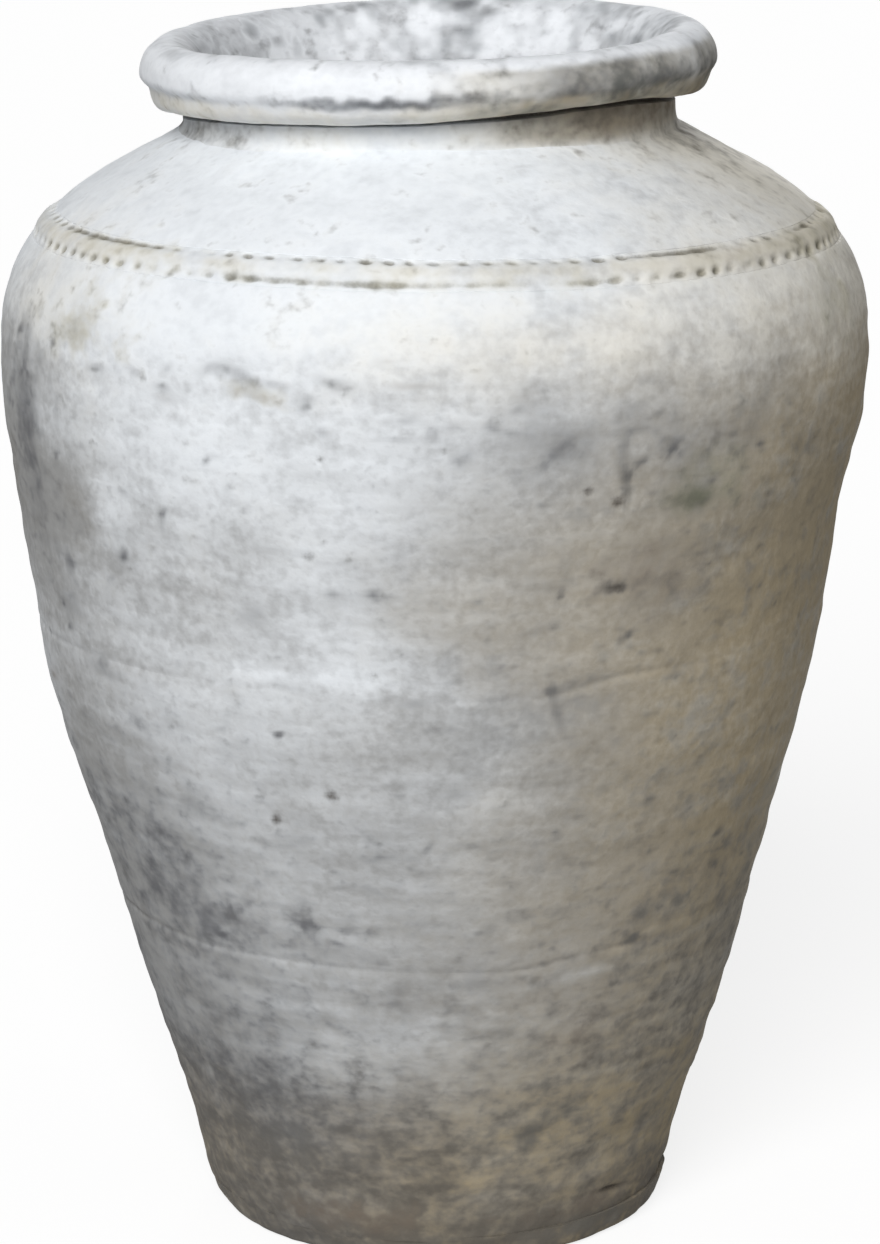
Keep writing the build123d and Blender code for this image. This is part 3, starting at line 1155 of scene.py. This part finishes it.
@dataclass
class ClayPiece:
    """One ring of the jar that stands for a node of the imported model."""

    name: str
    node: str
    slot: Slot

    def sides(self) -> list[Side]:
        """Lists the sides of the section."""
        raise NotImplementedError

    def steps(self) -> int:
        """Gives the steps of the full turn."""
        return WALL_STEPS

    @staticmethod
    def moved(points: np.ndarray, out: np.ndarray, move: np.ndarray) -> np.ndarray:
        """Moves points in the upright plane through the axis.

        Args:
            points: Places to move.
            out: Direction of each move, or one for all, as radius and height.
            move: Distance of each move in metres.

        Returns:
            The moved points.
        """
        radius = np.maximum(np.hypot(points[:, 0], points[:, 1]), TINY)
        run, climb = np.broadcast_to(out, (len(points), 2)).T
        way = np.stack((points[:, 0] / radius * run, points[:, 1] / radius * run, climb), axis=1)
        return points + way * move[:, None]

    def worked(self, points: np.ndarray, shows: np.ndarray, hands: HandWork) -> np.ndarray:
        """Moves the even points to where the hand left them.

        Args:
            points: Places on the even ring.
            shows: Share of the hand's work that each point takes.
            hands: The hand's work.

        Returns:
            The moved points.
        """
        seat = BAND_SEAT * ramp(np.abs(up_the_band(points)), 0.99, 0.84)
        return self.moved(points, lean_out(points[:, 2]), (hands.relief(points) - seat) * shows)

    def weathered(self, points: np.ndarray, hands: HandWork) -> Shares:
        """Grades wash, dirt and painted shade over the piece."""
        return hands.weather(points)

    def build(self, hands: HandWork, finish: bpy.types.Material) -> None:
        """Makes the piece, dresses it and joins it to the frame.

        Args:
            hands: The hand's work.
            finish: Material of the piece.
        """
        clay = turned(self.sides(), self.steps())
        mesh = bpy.data.meshes.new(self.name)
        clay.to_mesh(mesh)
        clay.free()
        count = len(mesh.vertices)
        points = np.zeros(count * 3)
        mesh.vertices.foreach_get("co", points)
        points = points.reshape(-1, 3)
        shows = np.zeros(count)
        mesh.attributes["shows"].data.foreach_get("value", shows)
        shares = self.weathered(points, hands)
        points = self.worked(points, shows, hands)
        mesh.vertices.foreach_set("co", points.ravel())
        for name, share in shares.items():
            layer = mesh.attributes.new(name, "FLOAT", "POINT")
            layer.data.foreach_set("value", share.astype(np.float32))
        mesh.polygons.foreach_set("use_smooth", [True] * len(mesh.polygons))
        mesh.update()
        mesh.set_sharp_from_angle(angle=math.radians(SHARP_EDGE))
        mesh.materials.append(finish)
        piece = bpy.data.objects.new(self.name, mesh)
        bpy.context.scene.collection.objects.link(piece)
        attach(piece, BODY)
        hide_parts(self.node)
        LOG.info("%s: %d faces", self.name, len(mesh.polygons))


@dataclass
class FootSlab(ClayPiece):
    """The flat disc of bare clay that the jar stands on, smeared into the wall and worn round below."""

    radius: float = 0.184
    thickness: float = 0.022
    edge: float = 0.006
    smear: float = 0.0100
    right_smear: float = 0.003
    batter: float = 0.27
    middle: float = 0.004
    tucked: float = 0.002
    chips: tuple[Ripple, ...] = (
        Ripple(Lattice.FINE, 1.2, 30.0, 30.0),
        Ripple(Lattice.BROAD, 0.8, 12.0, 12.0),
    )

    def sides(self) -> list[Side]:
        """Lists the sides of the section.

        Returns:
            The sides in order, as a closed loop.
        """
        rim = self.radius - self.edge
        top = self.thickness + self.tucked
        return [
            Side(straight((self.middle, 0.0), (rim, 0.0)), 18),
            Side(quarter((rim, self.edge), self.edge, self.edge, -90, 0), 6, 1.0),
            Side(straight((self.radius, self.edge), (self.radius, top)), 8, 1.0),
            Side(straight((self.radius, top), (self.middle, top)), 6),
            Side(straight((self.middle, top), (self.middle, 0.0)), 1),
        ]

    def worked(self, points: np.ndarray, shows: np.ndarray, hands: HandWork) -> np.ndarray:
        """Brings the edge out flush with the wall above it, and chips it.

        Args:
            points: Places on the even disc.
            shows: Share of the work that each point takes.
            hands: The hand's work.

        Returns:
            The moved points.
        """
        azimuth, _, height = hands.polar(points)
        smear = self.smear + self.right_smear * ramp(rightward(azimuth), 0.2, 0.7)
        move = smear - self.batter * (self.thickness - height) + hands.relief(points)
        move += hands.rippled(self.chips, points)
        return self.moved(points, LEVEL_OUT, move * shows * ramp(height, -0.012, 0.004))


@dataclass
class WallStage(ClayPiece):
    """One raised stage of the wall, from the joint below it to the joint above."""

    low: Station = FOOT
    high: Station = LOWER_JOINT
    wall: float = WALL

    def sides(self) -> list[Side]:
        """Lists the sides of the section.

        Returns:
            The sides in order, as a closed loop.
        """
        reach = Reach(self.low, self.high)

        def outer(share: float) -> tuple[float, float]:
            """Gives the point up the outer face."""
            return tuple(reach.at(crowded(share)))

        def inner(share: float) -> tuple[float, float]:
            """Gives the point down the inner face."""
            return tuple(reach.inside(1.0 - share, self.wall))

        return [
            Side(outer, round(reach.length() / WALL_ROW), 1.0),
            Side(straight(outer(1.0), inner(0.0)), 1),
            Side(inner, 11),
            Side(straight(inner(1.0), outer(0.0)), 1),
        ]


@dataclass
class ShoulderRing(ClayPiece):
    """The sloping ring from the notched band to the foot of the neck."""

    low: Station = SHOULDER_JOINT
    high: Station = NECK_FOOT
    wall: float = WALL
    hole: float = 0.190
    lip: float = 0.931
    lip_depth: float = 0.036

    def sides(self) -> list[Side]:
        """Lists the sides of the section.

        Returns:
            The sides in order, as a closed loop.
        """
        reach = Reach(self.low, self.high)

        def outer(share: float) -> tuple[float, float]:
            """Gives the point up the outer face."""
            return tuple(reach.at(share))

        start = (self.hole, self.lip - self.lip_depth)
        end = tuple(reach.inside(0.0, self.wall))
        return [
            Side(outer, round(reach.length() / WALL_ROW), 1.0),
            Side(straight(outer(1.0), (self.hole, self.lip)), 3),
            Side(straight((self.hole, self.lip), start), 2),
            Side(straight(start, end), 9),
            Side(straight(end, outer(0.0)), 1),
        ]


@dataclass
class NotchedBand(ClayPiece):
    """The applied strip over the shoulder's joint, with a row of tooled notches along each edge."""

    joint: Station = SHOULDER_JOINT
    width: float = BAND_WIDTH
    proud: float = 0.0026
    seat: float = 0.007
    sunk: float = 0.0003
    notches: int = 110
    steps_per_notch: int = 14
    notch_depth: float = 0.0038
    row: float = 0.68
    row_half: float = 0.21
    slant: float = 0.30
    stagger: float = 0.24

    def steps(self) -> int:
        """Gives the steps of the full turn."""
        return self.notches * self.steps_per_notch

    def sides(self) -> list[Side]:
        """Lists the sides of the section.

        Returns:
            The sides in order, as a closed loop.
        """
        half = 0.5 * self.width
        below, above = Reach(BELLY_JOINT, self.joint), Reach(self.joint, NECK_FOOT)

        def on_wall(run: float) -> np.ndarray:
            """Gives a point of the wall.

            Args:
                run: Distance up the wall from the strip's middle in metres.

            Returns:
                Radius and height on the outer face.
            """
            climb = run + BAND_SHIFT
            if climb < 0.0:
                return below.at(1.0 + climb / below.length())
            return above.at(climb / above.length())

        def crown(share: float) -> tuple[float, float]:
            """Gives the point across the strip's face, which is feathered into the wall at both edges."""
            swell = (self.proud + self.sunk) * (1.0 - (2.0 * share - 1.0) ** 2) - self.sunk
            return tuple(on_wall(self.width * share - half) + self.joint.outward() * swell)

        def under(share: float) -> tuple[float, float]:
            """Gives the point across the strip's seat."""
            return tuple(on_wall(half - self.width * share) - self.joint.outward() * self.seat)

        return [
            Side(crown, 29, 1.0),
            Side(straight(crown(1.0), under(0.0)), 0),
            Side(under, 3),
            Side(straight(under(1.0), crown(0.0)), 0),
        ]

    def notched(self, points: np.ndarray, hands: HandWork) -> np.ndarray:
        """Gives the depth of the notches, which run into a plain groove here and there.

        Args:
            points: Places on the even strip.
            hands: The hand's work.

        Returns:
            Share of a full notch at each point.
        """
        azimuth = hands.polar(points)[0]
        run = up_the_band(points)
        ring = points * LEVEL_ONLY
        upper = run > 0.0
        from_row = np.abs(run) - self.row
        count = azimuth / 360.0 * self.notches + self.stagger * hands.fine.round(ring, 0.030)
        count += self.slant * from_row + np.where(upper, 0.0, 0.5)
        dash = (0.5 + 0.5 * np.cos(TURN * count)) ** 1.3
        # The lower row is one groove in front, and the upper row runs together where the tool was dragged
        in_front = ramp(azimuth, -34.0, -20.0) * ramp(azimuth, 31.0, 18.0)
        merged = np.where(upper, ramp(hands.fine.round(ring, 0.11), 0.15, 0.50), in_front)
        depth = np.clip(0.72 + 0.55 * hands.broad.round(ring, 0.035), 0.2, 1.1)
        groove = (0.15 + 0.80 * dash) * (1.0 - merged) + (0.66 + 0.22 * dash) * merged
        return bell(from_row, self.row_half) * depth * groove

    def worked(self, points: np.ndarray, shows: np.ndarray, hands: HandWork) -> np.ndarray:
        """Presses in the notches, on a strip that follows the wall under it.

        Args:
            points: Places on the even strip.
            shows: Share of the work that each point takes.
            hands: The hand's work.

        Returns:
            The moved points.
        """
        move = hands.relief(points) - self.notch_depth * self.notched(points, hands)
        return self.moved(points, lean_out(points[:, 2]), move * shows)

    def weathered(self, points: np.ndarray, hands: HandWork) -> Shares:
        """Grades wash and dirt, with dirt held in the notches.

        Args:
            points: Places on the even strip.
            hands: The hand's work.

        Returns:
            One set of shares for each attribute that the finishes read.
        """
        shares = hands.weather(points)
        run = up_the_band(points)
        cut = np.clip(self.notched(points, hands), 0.0, 1.0)
        face = bell(run, 0.75)
        shares["hollow_dirt_and_shade"] = (0.50 + 0.14 * (run > 0.0)) * ramp(cut, 0.0, 0.66)
        shares["ochre"] += 0.12 * face + 0.4 * cut
        shares["moss"] += 0.34 * cut
        shares["warm"] += 0.30 * face
        shares["grime_and_shade"] += 0.30 * cut
        shares["wash"] -= 0.12 * face
        return limited(shares)


@dataclass
class MouthPiece(ClayPiece):
    """A ring about the mouth's own axis, which leans a little to the left."""

    foot: tuple[float, float, float] = (0.0, 0.0, 0.0)
    axis: tuple[float, float, float] = (0.0, 0.0, 1.0)
    front_lift: float = 0.0070
    right_lift: float = 0.0035
    left_drop: float = 0.0020

    def placed(self, points: np.ndarray) -> np.ndarray:
        """Moves points from the mouth's own frame to the jar's.

        Args:
            points: Places in the mouth's own frame.

        Returns:
            The same places in the jar's frame.
        """
        turn = Vector((0.0, 0.0, 1.0)).rotation_difference(Vector(self.axis)).to_matrix().to_4x4()
        place = np.array(Matrix.Translation(self.foot) @ turn)
        return points @ place[:3, :3].T + place[:3, 3]

    def lift(self, azimuth: np.ndarray) -> np.ndarray:
        """Gives how far the rim's underside, which isn't level, stands above its lowest level.

        Args:
            azimuth: Degrees right of the front.

        Returns:
            Height to add at each point in metres.
        """
        turn = np.radians(azimuth)
        rise = self.front_lift * ramp(np.cos(turn), -0.1, 0.7)
        rise += self.right_lift * bell(azimuth - 40.0, 24.0)
        return rise - self.left_drop * ramp(np.sin(turn), -0.3, -0.95)

    def swollen(self, points: np.ndarray, move: np.ndarray, core: tuple[float, float]) -> np.ndarray:
        """Moves points away from a ring inside the clay.

        Args:
            points: Places in the mouth's own frame.
            move: Distance to move in metres.
            core: Radius and height of the ring.

        Returns:
            The moved points in the jar's frame.
        """
        away = np.stack((np.hypot(points[:, 0], points[:, 1]) - core[0], points[:, 2] - core[1]), axis=1)
        away /= np.maximum(np.linalg.norm(away, axis=1), TINY)[:, None]
        return self.placed(self.moved(points, away, move))


@dataclass
class NeckCollar(MouthPiece):
    """The short upright ring under the rim, with wet clay smoothed into the shoulder at its foot."""

    radius: float = 0.2025
    bore: float = 0.174
    low: float = 0.908
    flare: float = 0.014
    left_flare: float = 0.012
    fillet_top: float = 0.930
    ledge: float = 0.9365
    ledge_round: float = 0.0015
    recess: float = 0.009
    high: float = 0.962
    bore_top: float = 0.9405
    bore_taper: float = 0.0005
    dents: tuple[Ripple, ...] = (
        Ripple(Lattice.FINE, 0.9, 50.0, 50.0),
        Ripple(Lattice.BROAD, 0.4, 20.0, 20.0),
    )

    def sides(self) -> list[Side]:
        """Lists the sides of the section.

        Returns:
            The sides in order, as a closed loop.
        """
        foot = self.radius + self.flare
        fillet = quarter((foot, self.fillet_top), self.flare, self.fillet_top - self.low, 270, 180)
        shelf = self.ledge + self.ledge_round
        inner = self.radius - self.recess
        throat = (self.bore + self.bore_taper, self.bore_top)
        return [
            Side(fillet, 18, 1.0),
            Side(straight((self.radius, self.fillet_top), (self.radius, self.ledge)), 6, 1.0),
            Side(straight((self.radius, self.ledge), (inner, shelf)), 4, 1.0),
            Side(straight((inner, shelf), (inner, self.high)), 8, 1.0),
            Side(straight((inner, self.high), throat), 1),
            Side(straight(throat, (self.bore, self.low)), 5),
            Side(straight((self.bore, self.low), (foot, self.low)), 2),
        ]

    def worked(self, points: np.ndarray, shows: np.ndarray, hands: HandWork) -> np.ndarray:
        """Leaves the hand's dents in the ring, and more clay at its foot on the left.

        Args:
            points: Places on the even ring.
            shows: Share of the work that each point takes.
            hands: The hand's work.

        Returns:
            The moved points in the jar's frame.
        """
        azimuth, _, height = hands.polar(points)
        left = ramp(rightward(azimuth), 0.1, -0.8)
        spread = self.left_flare * left * ramp(height, self.fillet_top + 0.004, self.low + 0.004)
        foot = self.moved(points, LEVEL_OUT, spread * shows)
        foot[:, 2] += self.lift(azimuth) * ramp(height, self.fillet_top - 0.006, self.ledge) * shows
        core = (0.5 * (self.radius + self.bore), 0.5 * (self.low + self.high))
        return self.swollen(foot, hands.rippled(self.dents, points) * shows, core)

    def weathered(self, points: np.ndarray, hands: HandWork) -> Shares:
        """Grades wash and dirt: pale in front, dark and brown at the sides from dirt and painted shade,
        near black in the crease under the rim from painted shade and dirt.

        Args:
            points: Places on the even ring.
            hands: The hand's work.

        Returns:
            One set of shares for each attribute that the finishes read.
        """
        azimuth, radius, height = hands.polar(points)
        side = rightward(azimuth)
        inside = ramp(radius, 0.184, 0.178)
        # Both sides are darker and browner, partly from dirt and partly as painted shade
        right = ramp(side, -0.08, 0.55)
        # Painted shade with dirt: the recess under the rim is painted near black
        crease = ramp(height, self.ledge - 0.001, self.ledge + 0.002) * (1.0 - inside)
        left = ramp(side, -0.52, -0.92)
        patch = hands.broad.round(points, 0.05) + 0.8 * hands.fine.round(points, 0.02)
        shares = {
            "wash": 0.97 - 0.56 * right - 0.28 * left - 0.5 * inside + 0.05 * patch,
            "grime_and_shade": 0.10 + 0.38 * right + 0.40 * left + 0.4 * inside - 0.05 * patch,
            "warm": 0.35 + 0.5 * right,
            "ochre": 0.16 + 0.15 * right,
            "soot_and_shade": 0.25 * inside + 0.20 * left,
            "soil_and_shade": 0.45 * ramp(side, 0.40, 0.75),
            "hollow_dirt_and_shade": 0.85 * crease,
        }
        # The smeared foot fades into the shoulder's own weather
        fade = ramp(height, self.fillet_top, self.fillet_top - 0.016) * (1.0 - inside)
        below = hands.weather(points)
        return limited({name: share + (below[name] - share) * fade for name, share in shares.items()})


@dataclass
class RimRoll(MouthPiece):
    """The heavy coil folded out around the mouth: a full crown and a shallow scraped groove."""

    neck: float = 0.190
    bore: float = 0.174
    low: float = 0.941
    widest: float = 0.971
    top: float = 1.000
    radius: float = 0.2365
    crest: float = 0.212
    roll: float = 0.212
    groove: float = 0.9605
    groove_depth: float = 0.0008
    groove_half: float = 0.0055
    nod: float = 0.0050
    right_tuck: float = 0.0025
    left_tuck: float = 0.0050
    squeezes: tuple[Ripple, ...] = (
        Ripple(Lattice.BROAD, 1.8, 170.0, 170.0),
        Ripple(Lattice.FINE, 0.6, 60.0, 60.0),
    )
    dents: tuple[Ripple, ...] = (
        Ripple(Lattice.FINE, 0.5, 28.0, 28.0),
        Ripple(Lattice.BROAD, 0.2, 12.0, 12.0),
        Ripple(Lattice.FINE, 0.3, 90.0, 8.0),
    )

    def sides(self) -> list[Side]:
        """Lists the sides of the section.

        Returns:
            The sides in order, as a closed loop.
        """
        tall = self.widest - self.low
        crown = self.radius - self.crest
        lining = self.crest - self.bore
        return [
            Side(straight((self.neck, self.low), (self.roll, self.low)), 9, 1.0),
            Side(quarter((self.roll, self.widest), self.radius - self.roll, tall, -90, 0), 22, 1.0),
            Side(quarter((self.crest, self.widest), crown, self.top - self.widest, 0, 90), 18, 1.0),
            Side(quarter((self.crest, self.low), lining, self.top - self.low, 90, 180), 26, 1.0),
            Side(straight((self.bore, self.low), (self.neck, self.low)), 1),
        ]

    def worked(self, points: np.ndarray, shows: np.ndarray, hands: HandWork) -> np.ndarray:
        """Leaves the hand's squeezes and dents in the coil, whose underside isn't level all round.

        Args:
            points: Places on the even ring.
            shows: Share of the work that each point takes.
            hands: The hand's work.

        Returns:
            The moved points in the jar's frame.
        """
        azimuth, radius, height = hands.polar(points)
        side = rightward(azimuth)
        deep = np.clip((self.widest - height) / (self.widest - self.low), 0.0, 1.0)
        over = np.clip((height - self.widest) / (self.top - self.widest), 0.0, 1.0)
        lifted = points.copy()
        lifted[:, 2] += self.lift(azimuth) * deep**1.5 * ramp(radius, 0.176, 0.188)
        lifted[:, 2] -= self.nod * over * np.cos(np.radians(azimuth))
        tuck = self.right_tuck * ramp(side, 0.3, 0.95) + self.left_tuck * ramp(side, -0.3, -0.95)
        move = -tuck * np.sin(math.pi * deep) ** 2 * ramp(radius, 0.205, 0.222)
        scraped = bell(height - self.groove, self.groove_half) * ramp(radius, 0.218, 0.230)
        move -= self.groove_depth * scraped
        move += hands.rippled(self.squeezes, points * LEVEL_ONLY) + hands.rippled(self.dents, points)
        return self.swollen(lifted, move * shows, (self.crest, self.widest))

    def weathered(self, points: np.ndarray, hands: HandWork) -> Shares:
        """Grades wash and dirt: a bright face, a mottled grey crest, painted shade on the underside and in
        a strip, and a right side darkened by dirt and painted shade.

        Args:
            points: Places on the even ring.
            hands: The hand's work.

        Returns:
            One set of shares for each attribute that the finishes read.
        """
        azimuth, radius, height = hands.polar(points)
        side = rightward(azimuth)
        patch = hands.broad.round(points, 0.045) + 0.8 * hands.fine.round(points, 0.018)
        small = hands.broad.round(points, 0.020) + 0.8 * hands.fine.round(points, 0.009)
        # Parts of the coil: its crest, its inside, and the outer face with its underside
        crest = ramp(height, 0.986, 0.997)
        inside = ramp(radius, 0.214, 0.200)
        rolled_in = np.maximum(crest, inside)
        outer = 1.0 - rolled_in
        # The underside, which faces down, is tinted beige and a touch darker: painted shade
        under = ramp(height + 0.003 * small, 0.970, 0.950) * outer
        # Sides of the jar, and a strip of painted shade round the outer face along the shallow groove,
        # darkest in front
        front = ramp(azimuth, -46.0, -14.0) * ramp(azimuth, 18.0, -6.0)
        # The right of the outer face is darkened partly by dirt and partly as painted shade
        right = ramp(side + 0.08 * patch, -0.20, 0.42)
        left = ramp(side, 0.15, -0.15)
        strip = bell(height - 0.9648 + 0.003 * small, 0.0075) * outer
        # Single marks: a dark patch right of the face, partly stain and partly painted shade; painted shade
        # on the left inside; a stain at the back inside
        stain_and_shade_patch = ramp(side, 0.40, 0.66) * ramp(side, 0.99, 0.85) * outer * bell(height - 0.970, 0.013)
        left_inside_shade = inside * ramp(side, -0.35, -0.70) * ramp(small, -0.2, 0.4)
        far_inside = rolled_in * ramp(np.cos(np.radians(azimuth)), -0.80, -0.97)
        wash = 0.85 + 0.16 * ramp(side, 0.0, -0.5) * outer - 0.10 * crest - 0.14 * inside - 0.05 * under
        wash += (0.07 + 0.10 * rolled_in) * small + 0.12 * patch - 0.12 * far_inside
        wash -= 0.45 * right * outer + (0.10 * left + 0.44 * front) * strip
        grime_and_shade = 0.10 * crest + 0.16 * inside + 0.46 * right * outer
        grime_and_shade += (0.14 + 0.10 * left + 0.54 * front) * strip
        grime_and_shade += 0.12 * far_inside - 0.10 * patch - (0.07 + 0.08 * rolled_in) * small
        shares = {
            "wash": wash,
            "grime_and_shade": grime_and_shade,
            "warm": (0.04 + 0.55 * under + 0.45 * right) * outer,
            "ochre": (0.05 + 0.18 * under + 0.15 * right) * outer,
            "soot_and_shade": 0.4 * inside * ramp(height, 0.97, 0.945) + 0.58 * stain_and_shade_patch + 0.40 * left_inside_shade,
            "soil_and_shade": 0.16 * under * ramp(side, 0.45, 0.75),
            # Painted shade with dirt along the coil's lower edge, where it meets the neck
            "hollow_dirt_and_shade": 0.5 * ramp(height, 0.946, 0.942) * outer * ramp(radius, 0.222, 0.214),
        }
        return limited(shares)


@dataclass(frozen=True)
class Lamp:
    """One far lamp: degrees right of the front, degrees up, degrees across, and strength."""

    name: str
    azimuth: float
    elevation: float
    spread: float
    strength: float

    def hang(self) -> None:
        """Hangs the lamp."""
        data = bpy.data.lights.new(self.name, "SUN")
        data.angle = math.radians(self.spread)
        data.energy = self.strength
        azimuth, elevation = math.radians(self.azimuth), math.radians(self.elevation)
        level = math.cos(elevation)
        way = Vector((math.sin(azimuth) * level, -math.cos(azimuth) * level, math.sin(elevation)))
        lamp = bpy.data.objects.new(self.name, data)
        lamp.location = way * LAMP_DISTANCE
        lamp.rotation_euler = way.to_track_quat("Z", "Y").to_euler()
        bpy.context.scene.collection.objects.link(lamp)


@dataclass(frozen=True)
class Studio:
    """A pale floor, a soft lamp up on the left, a weak low one behind, and the photograph's viewpoint."""

    viewpoint: tuple[float, float, float] = (0.003, -3.400, 1.3271)
    look_down: float = 13.67
    lens_mm: float = 119.7
    sensor_mm: float = 36.0
    main_lamp: Lamp = Lamp("soft_lamp", -13.0, 32.0, 34.0, 2.95)
    back_lamp: Lamp = Lamp("weak_back_lamp", 172.0, 5.0, 12.0, 1.10)
    ambient: float = 0.15
    ambient_light: str = "#FFFFFF"
    floor_size: float = 30.0
    far_limit: float = 100.0
    backdrop: str = "#FDFDFD"
    floor_glow: str = "#E7E7E7"
    floor_shade: str = "#909090"
    floor_bounce: str = "#B4B4B4"

    def camera(self) -> None:
        """Sets the camera at the photograph's viewing angle."""
        data = bpy.data.cameras.new("viewpoint")
        data.lens = self.lens_mm
        data.sensor_width = self.sensor_mm
        data.clip_end = self.far_limit
        camera = bpy.data.objects.new("viewpoint", data)
        camera.location = self.viewpoint
        camera.rotation_euler = (math.radians(90.0 - self.look_down), 0.0, 0.0)
        bpy.context.scene.collection.objects.link(camera)
        bpy.context.scene.camera = camera

    @staticmethod
    def seen_directly(tree: bpy.types.NodeTree) -> Any:
        """Tells what the camera sees, directly, mirrored or through glass, from what only lights the jar.

        Args:
            tree: Node tree to add to.

        Returns:
            The output that is 1 for what is seen.
        """
        path = add(tree, "ShaderNodeLightPath").outputs
        seen: Any = path["Is Camera Ray"]
        for name in ("Is Glossy Ray", "Is Transmission Ray"):
            either = {0: seen, 1: path[name]}
            seen = add(tree, "ShaderNodeMath", {"operation": "MAXIMUM"}, either).outputs[0]
        return seen

    def surround(self) -> None:
        """Lights the studio evenly, and shows it white."""
        world = bpy.data.worlds.new("studio")
        world.use_nodes = True
        tree = world.node_tree
        tree.nodes.clear()
        light = {"Color": linear(self.ambient_light), "Strength": self.ambient}
        dim = add(tree, "ShaderNodeBackground", inputs=light)
        white = add(tree, "ShaderNodeBackground", inputs={"Color": linear(self.backdrop), "Strength": 1.0})
        seen = self.seen_directly(tree)
        both = add(tree, "ShaderNodeMixShader", inputs={0: seen, 1: dim.outputs[0], 2: white.outputs[0]})
        add(tree, "ShaderNodeOutputWorld", inputs={"Surface": both.outputs[0]})
        bpy.context.scene.world = world

    def card(self) -> bpy.types.Material:
        """Builds the matt studio card: white with a soft shadow to the eye, grey in the light it returns.

        Returns:
            The floor's material.
        """
        card = bpy.data.materials.new("matt_studio_card")
        card.use_nodes = True
        tree = card.node_tree
        tree.nodes.clear()
        returned = add(tree, "ShaderNodeBsdfDiffuse", inputs={"Color": linear(self.floor_bounce)})
        glow = add(tree, "ShaderNodeEmission", inputs={"Color": linear(self.floor_glow), "Strength": 1.0})
        shaded = add(tree, "ShaderNodeBsdfDiffuse", inputs={"Color": linear(self.floor_shade)})
        shown = add(tree, "ShaderNodeAddShader", inputs={0: glow.outputs[0], 1: shaded.outputs[0]})
        seen = self.seen_directly(tree)
        ways = {0: seen, 1: returned.outputs[0], 2: shown.outputs[0]}
        both = add(tree, "ShaderNodeMixShader", inputs=ways)
        add(tree, "ShaderNodeOutputMaterial", inputs={"Surface": both.outputs[0]})
        return card

    def floor(self) -> None:
        """Lays the floor, which is part of the stage."""
        sheet = bmesh.new()
        bmesh.ops.create_grid(sheet, x_segments=4, y_segments=4, size=0.5 * self.floor_size)
        mesh = bpy.data.meshes.new("studio_floor")
        sheet.to_mesh(mesh)
        sheet.free()
        mesh.materials.append(self.card())
        floor = bpy.data.objects.new("studio_floor", mesh)
        bpy.context.scene.collection.objects.link(floor)


def mouth_frame() -> tuple[tuple[float, ...], tuple[float, ...]]:
    """Reads where the mouth's axis starts and how it leans.

    Returns:
        The axis at the level of the floor, and its direction.
    """
    mounts = {mount["name"]: mount for mount in frame["record"]["mounts"]}
    axis = Vector(mounts["mouth"]["axis"]).normalized()
    point = Vector(mounts["mouth"]["pos_m"])
    return tuple(point - axis * MOUTH_MOUNT_LEVEL), tuple(axis)


def main() -> None:
    """Builds the jar and its studio, and logs each piece's count of faces."""
    logging.basicConfig(level=logging.INFO)
    bpy.context.scene.view_settings.view_transform = "Standard"
    studio = Studio()
    studio.camera()
    studio.main_lamp.hang()
    studio.back_lamp.hang()
    studio.surround()
    studio.floor()
    LOG.info("studio set")
    hands = HandWork()
    # Buff earthenware brushed with lime: chalky white above, worn to grey below, and brown on the right
    wall = LimewashedClay("worn_limewash_on_buff_clay").material()
    # The same clay as a rolled coil, where the lime lies thicker and looks cooler and whiter
    rim = LimewashedClay(
        "thick_limewash_on_rolled_clay",
        clay_pale="#A1A5A9",
        lime_cool="#F0F3F7",
        dirt="#6A6963",
        soot_and_shade="#63655F",
        cover=1.04,
    ).material()
    # The slab's fired clay with little lime left on it: rough, dull and dirty
    bare = LimewashedClay("bare_fired_clay", cover=0.7).material()
    foot, axis = mouth_frame()
    FootSlab("foot_disc", "base_slab", Slot.FOOT).build(hands, bare)
    for (name, node), low, high in zip(STAGES, STATIONS, STATIONS[1:]):
        WallStage(name, node, Slot.WALL, low, high).build(hands, wall)
    ShoulderRing("shoulder_ring", "shoulder", Slot.WALL).build(hands, wall)
    NotchedBand("notched_strip", "shoulder_band", Slot.WALL).build(hands, wall)
    NeckCollar("neck_ring", "neck_collar", Slot.WALL, foot, axis).build(hands, wall)
    RimRoll("rolled_rim", "rim_roll", Slot.RIM, foot, axis).build(hands, rim)


if __name__ == "__main__":
    main()
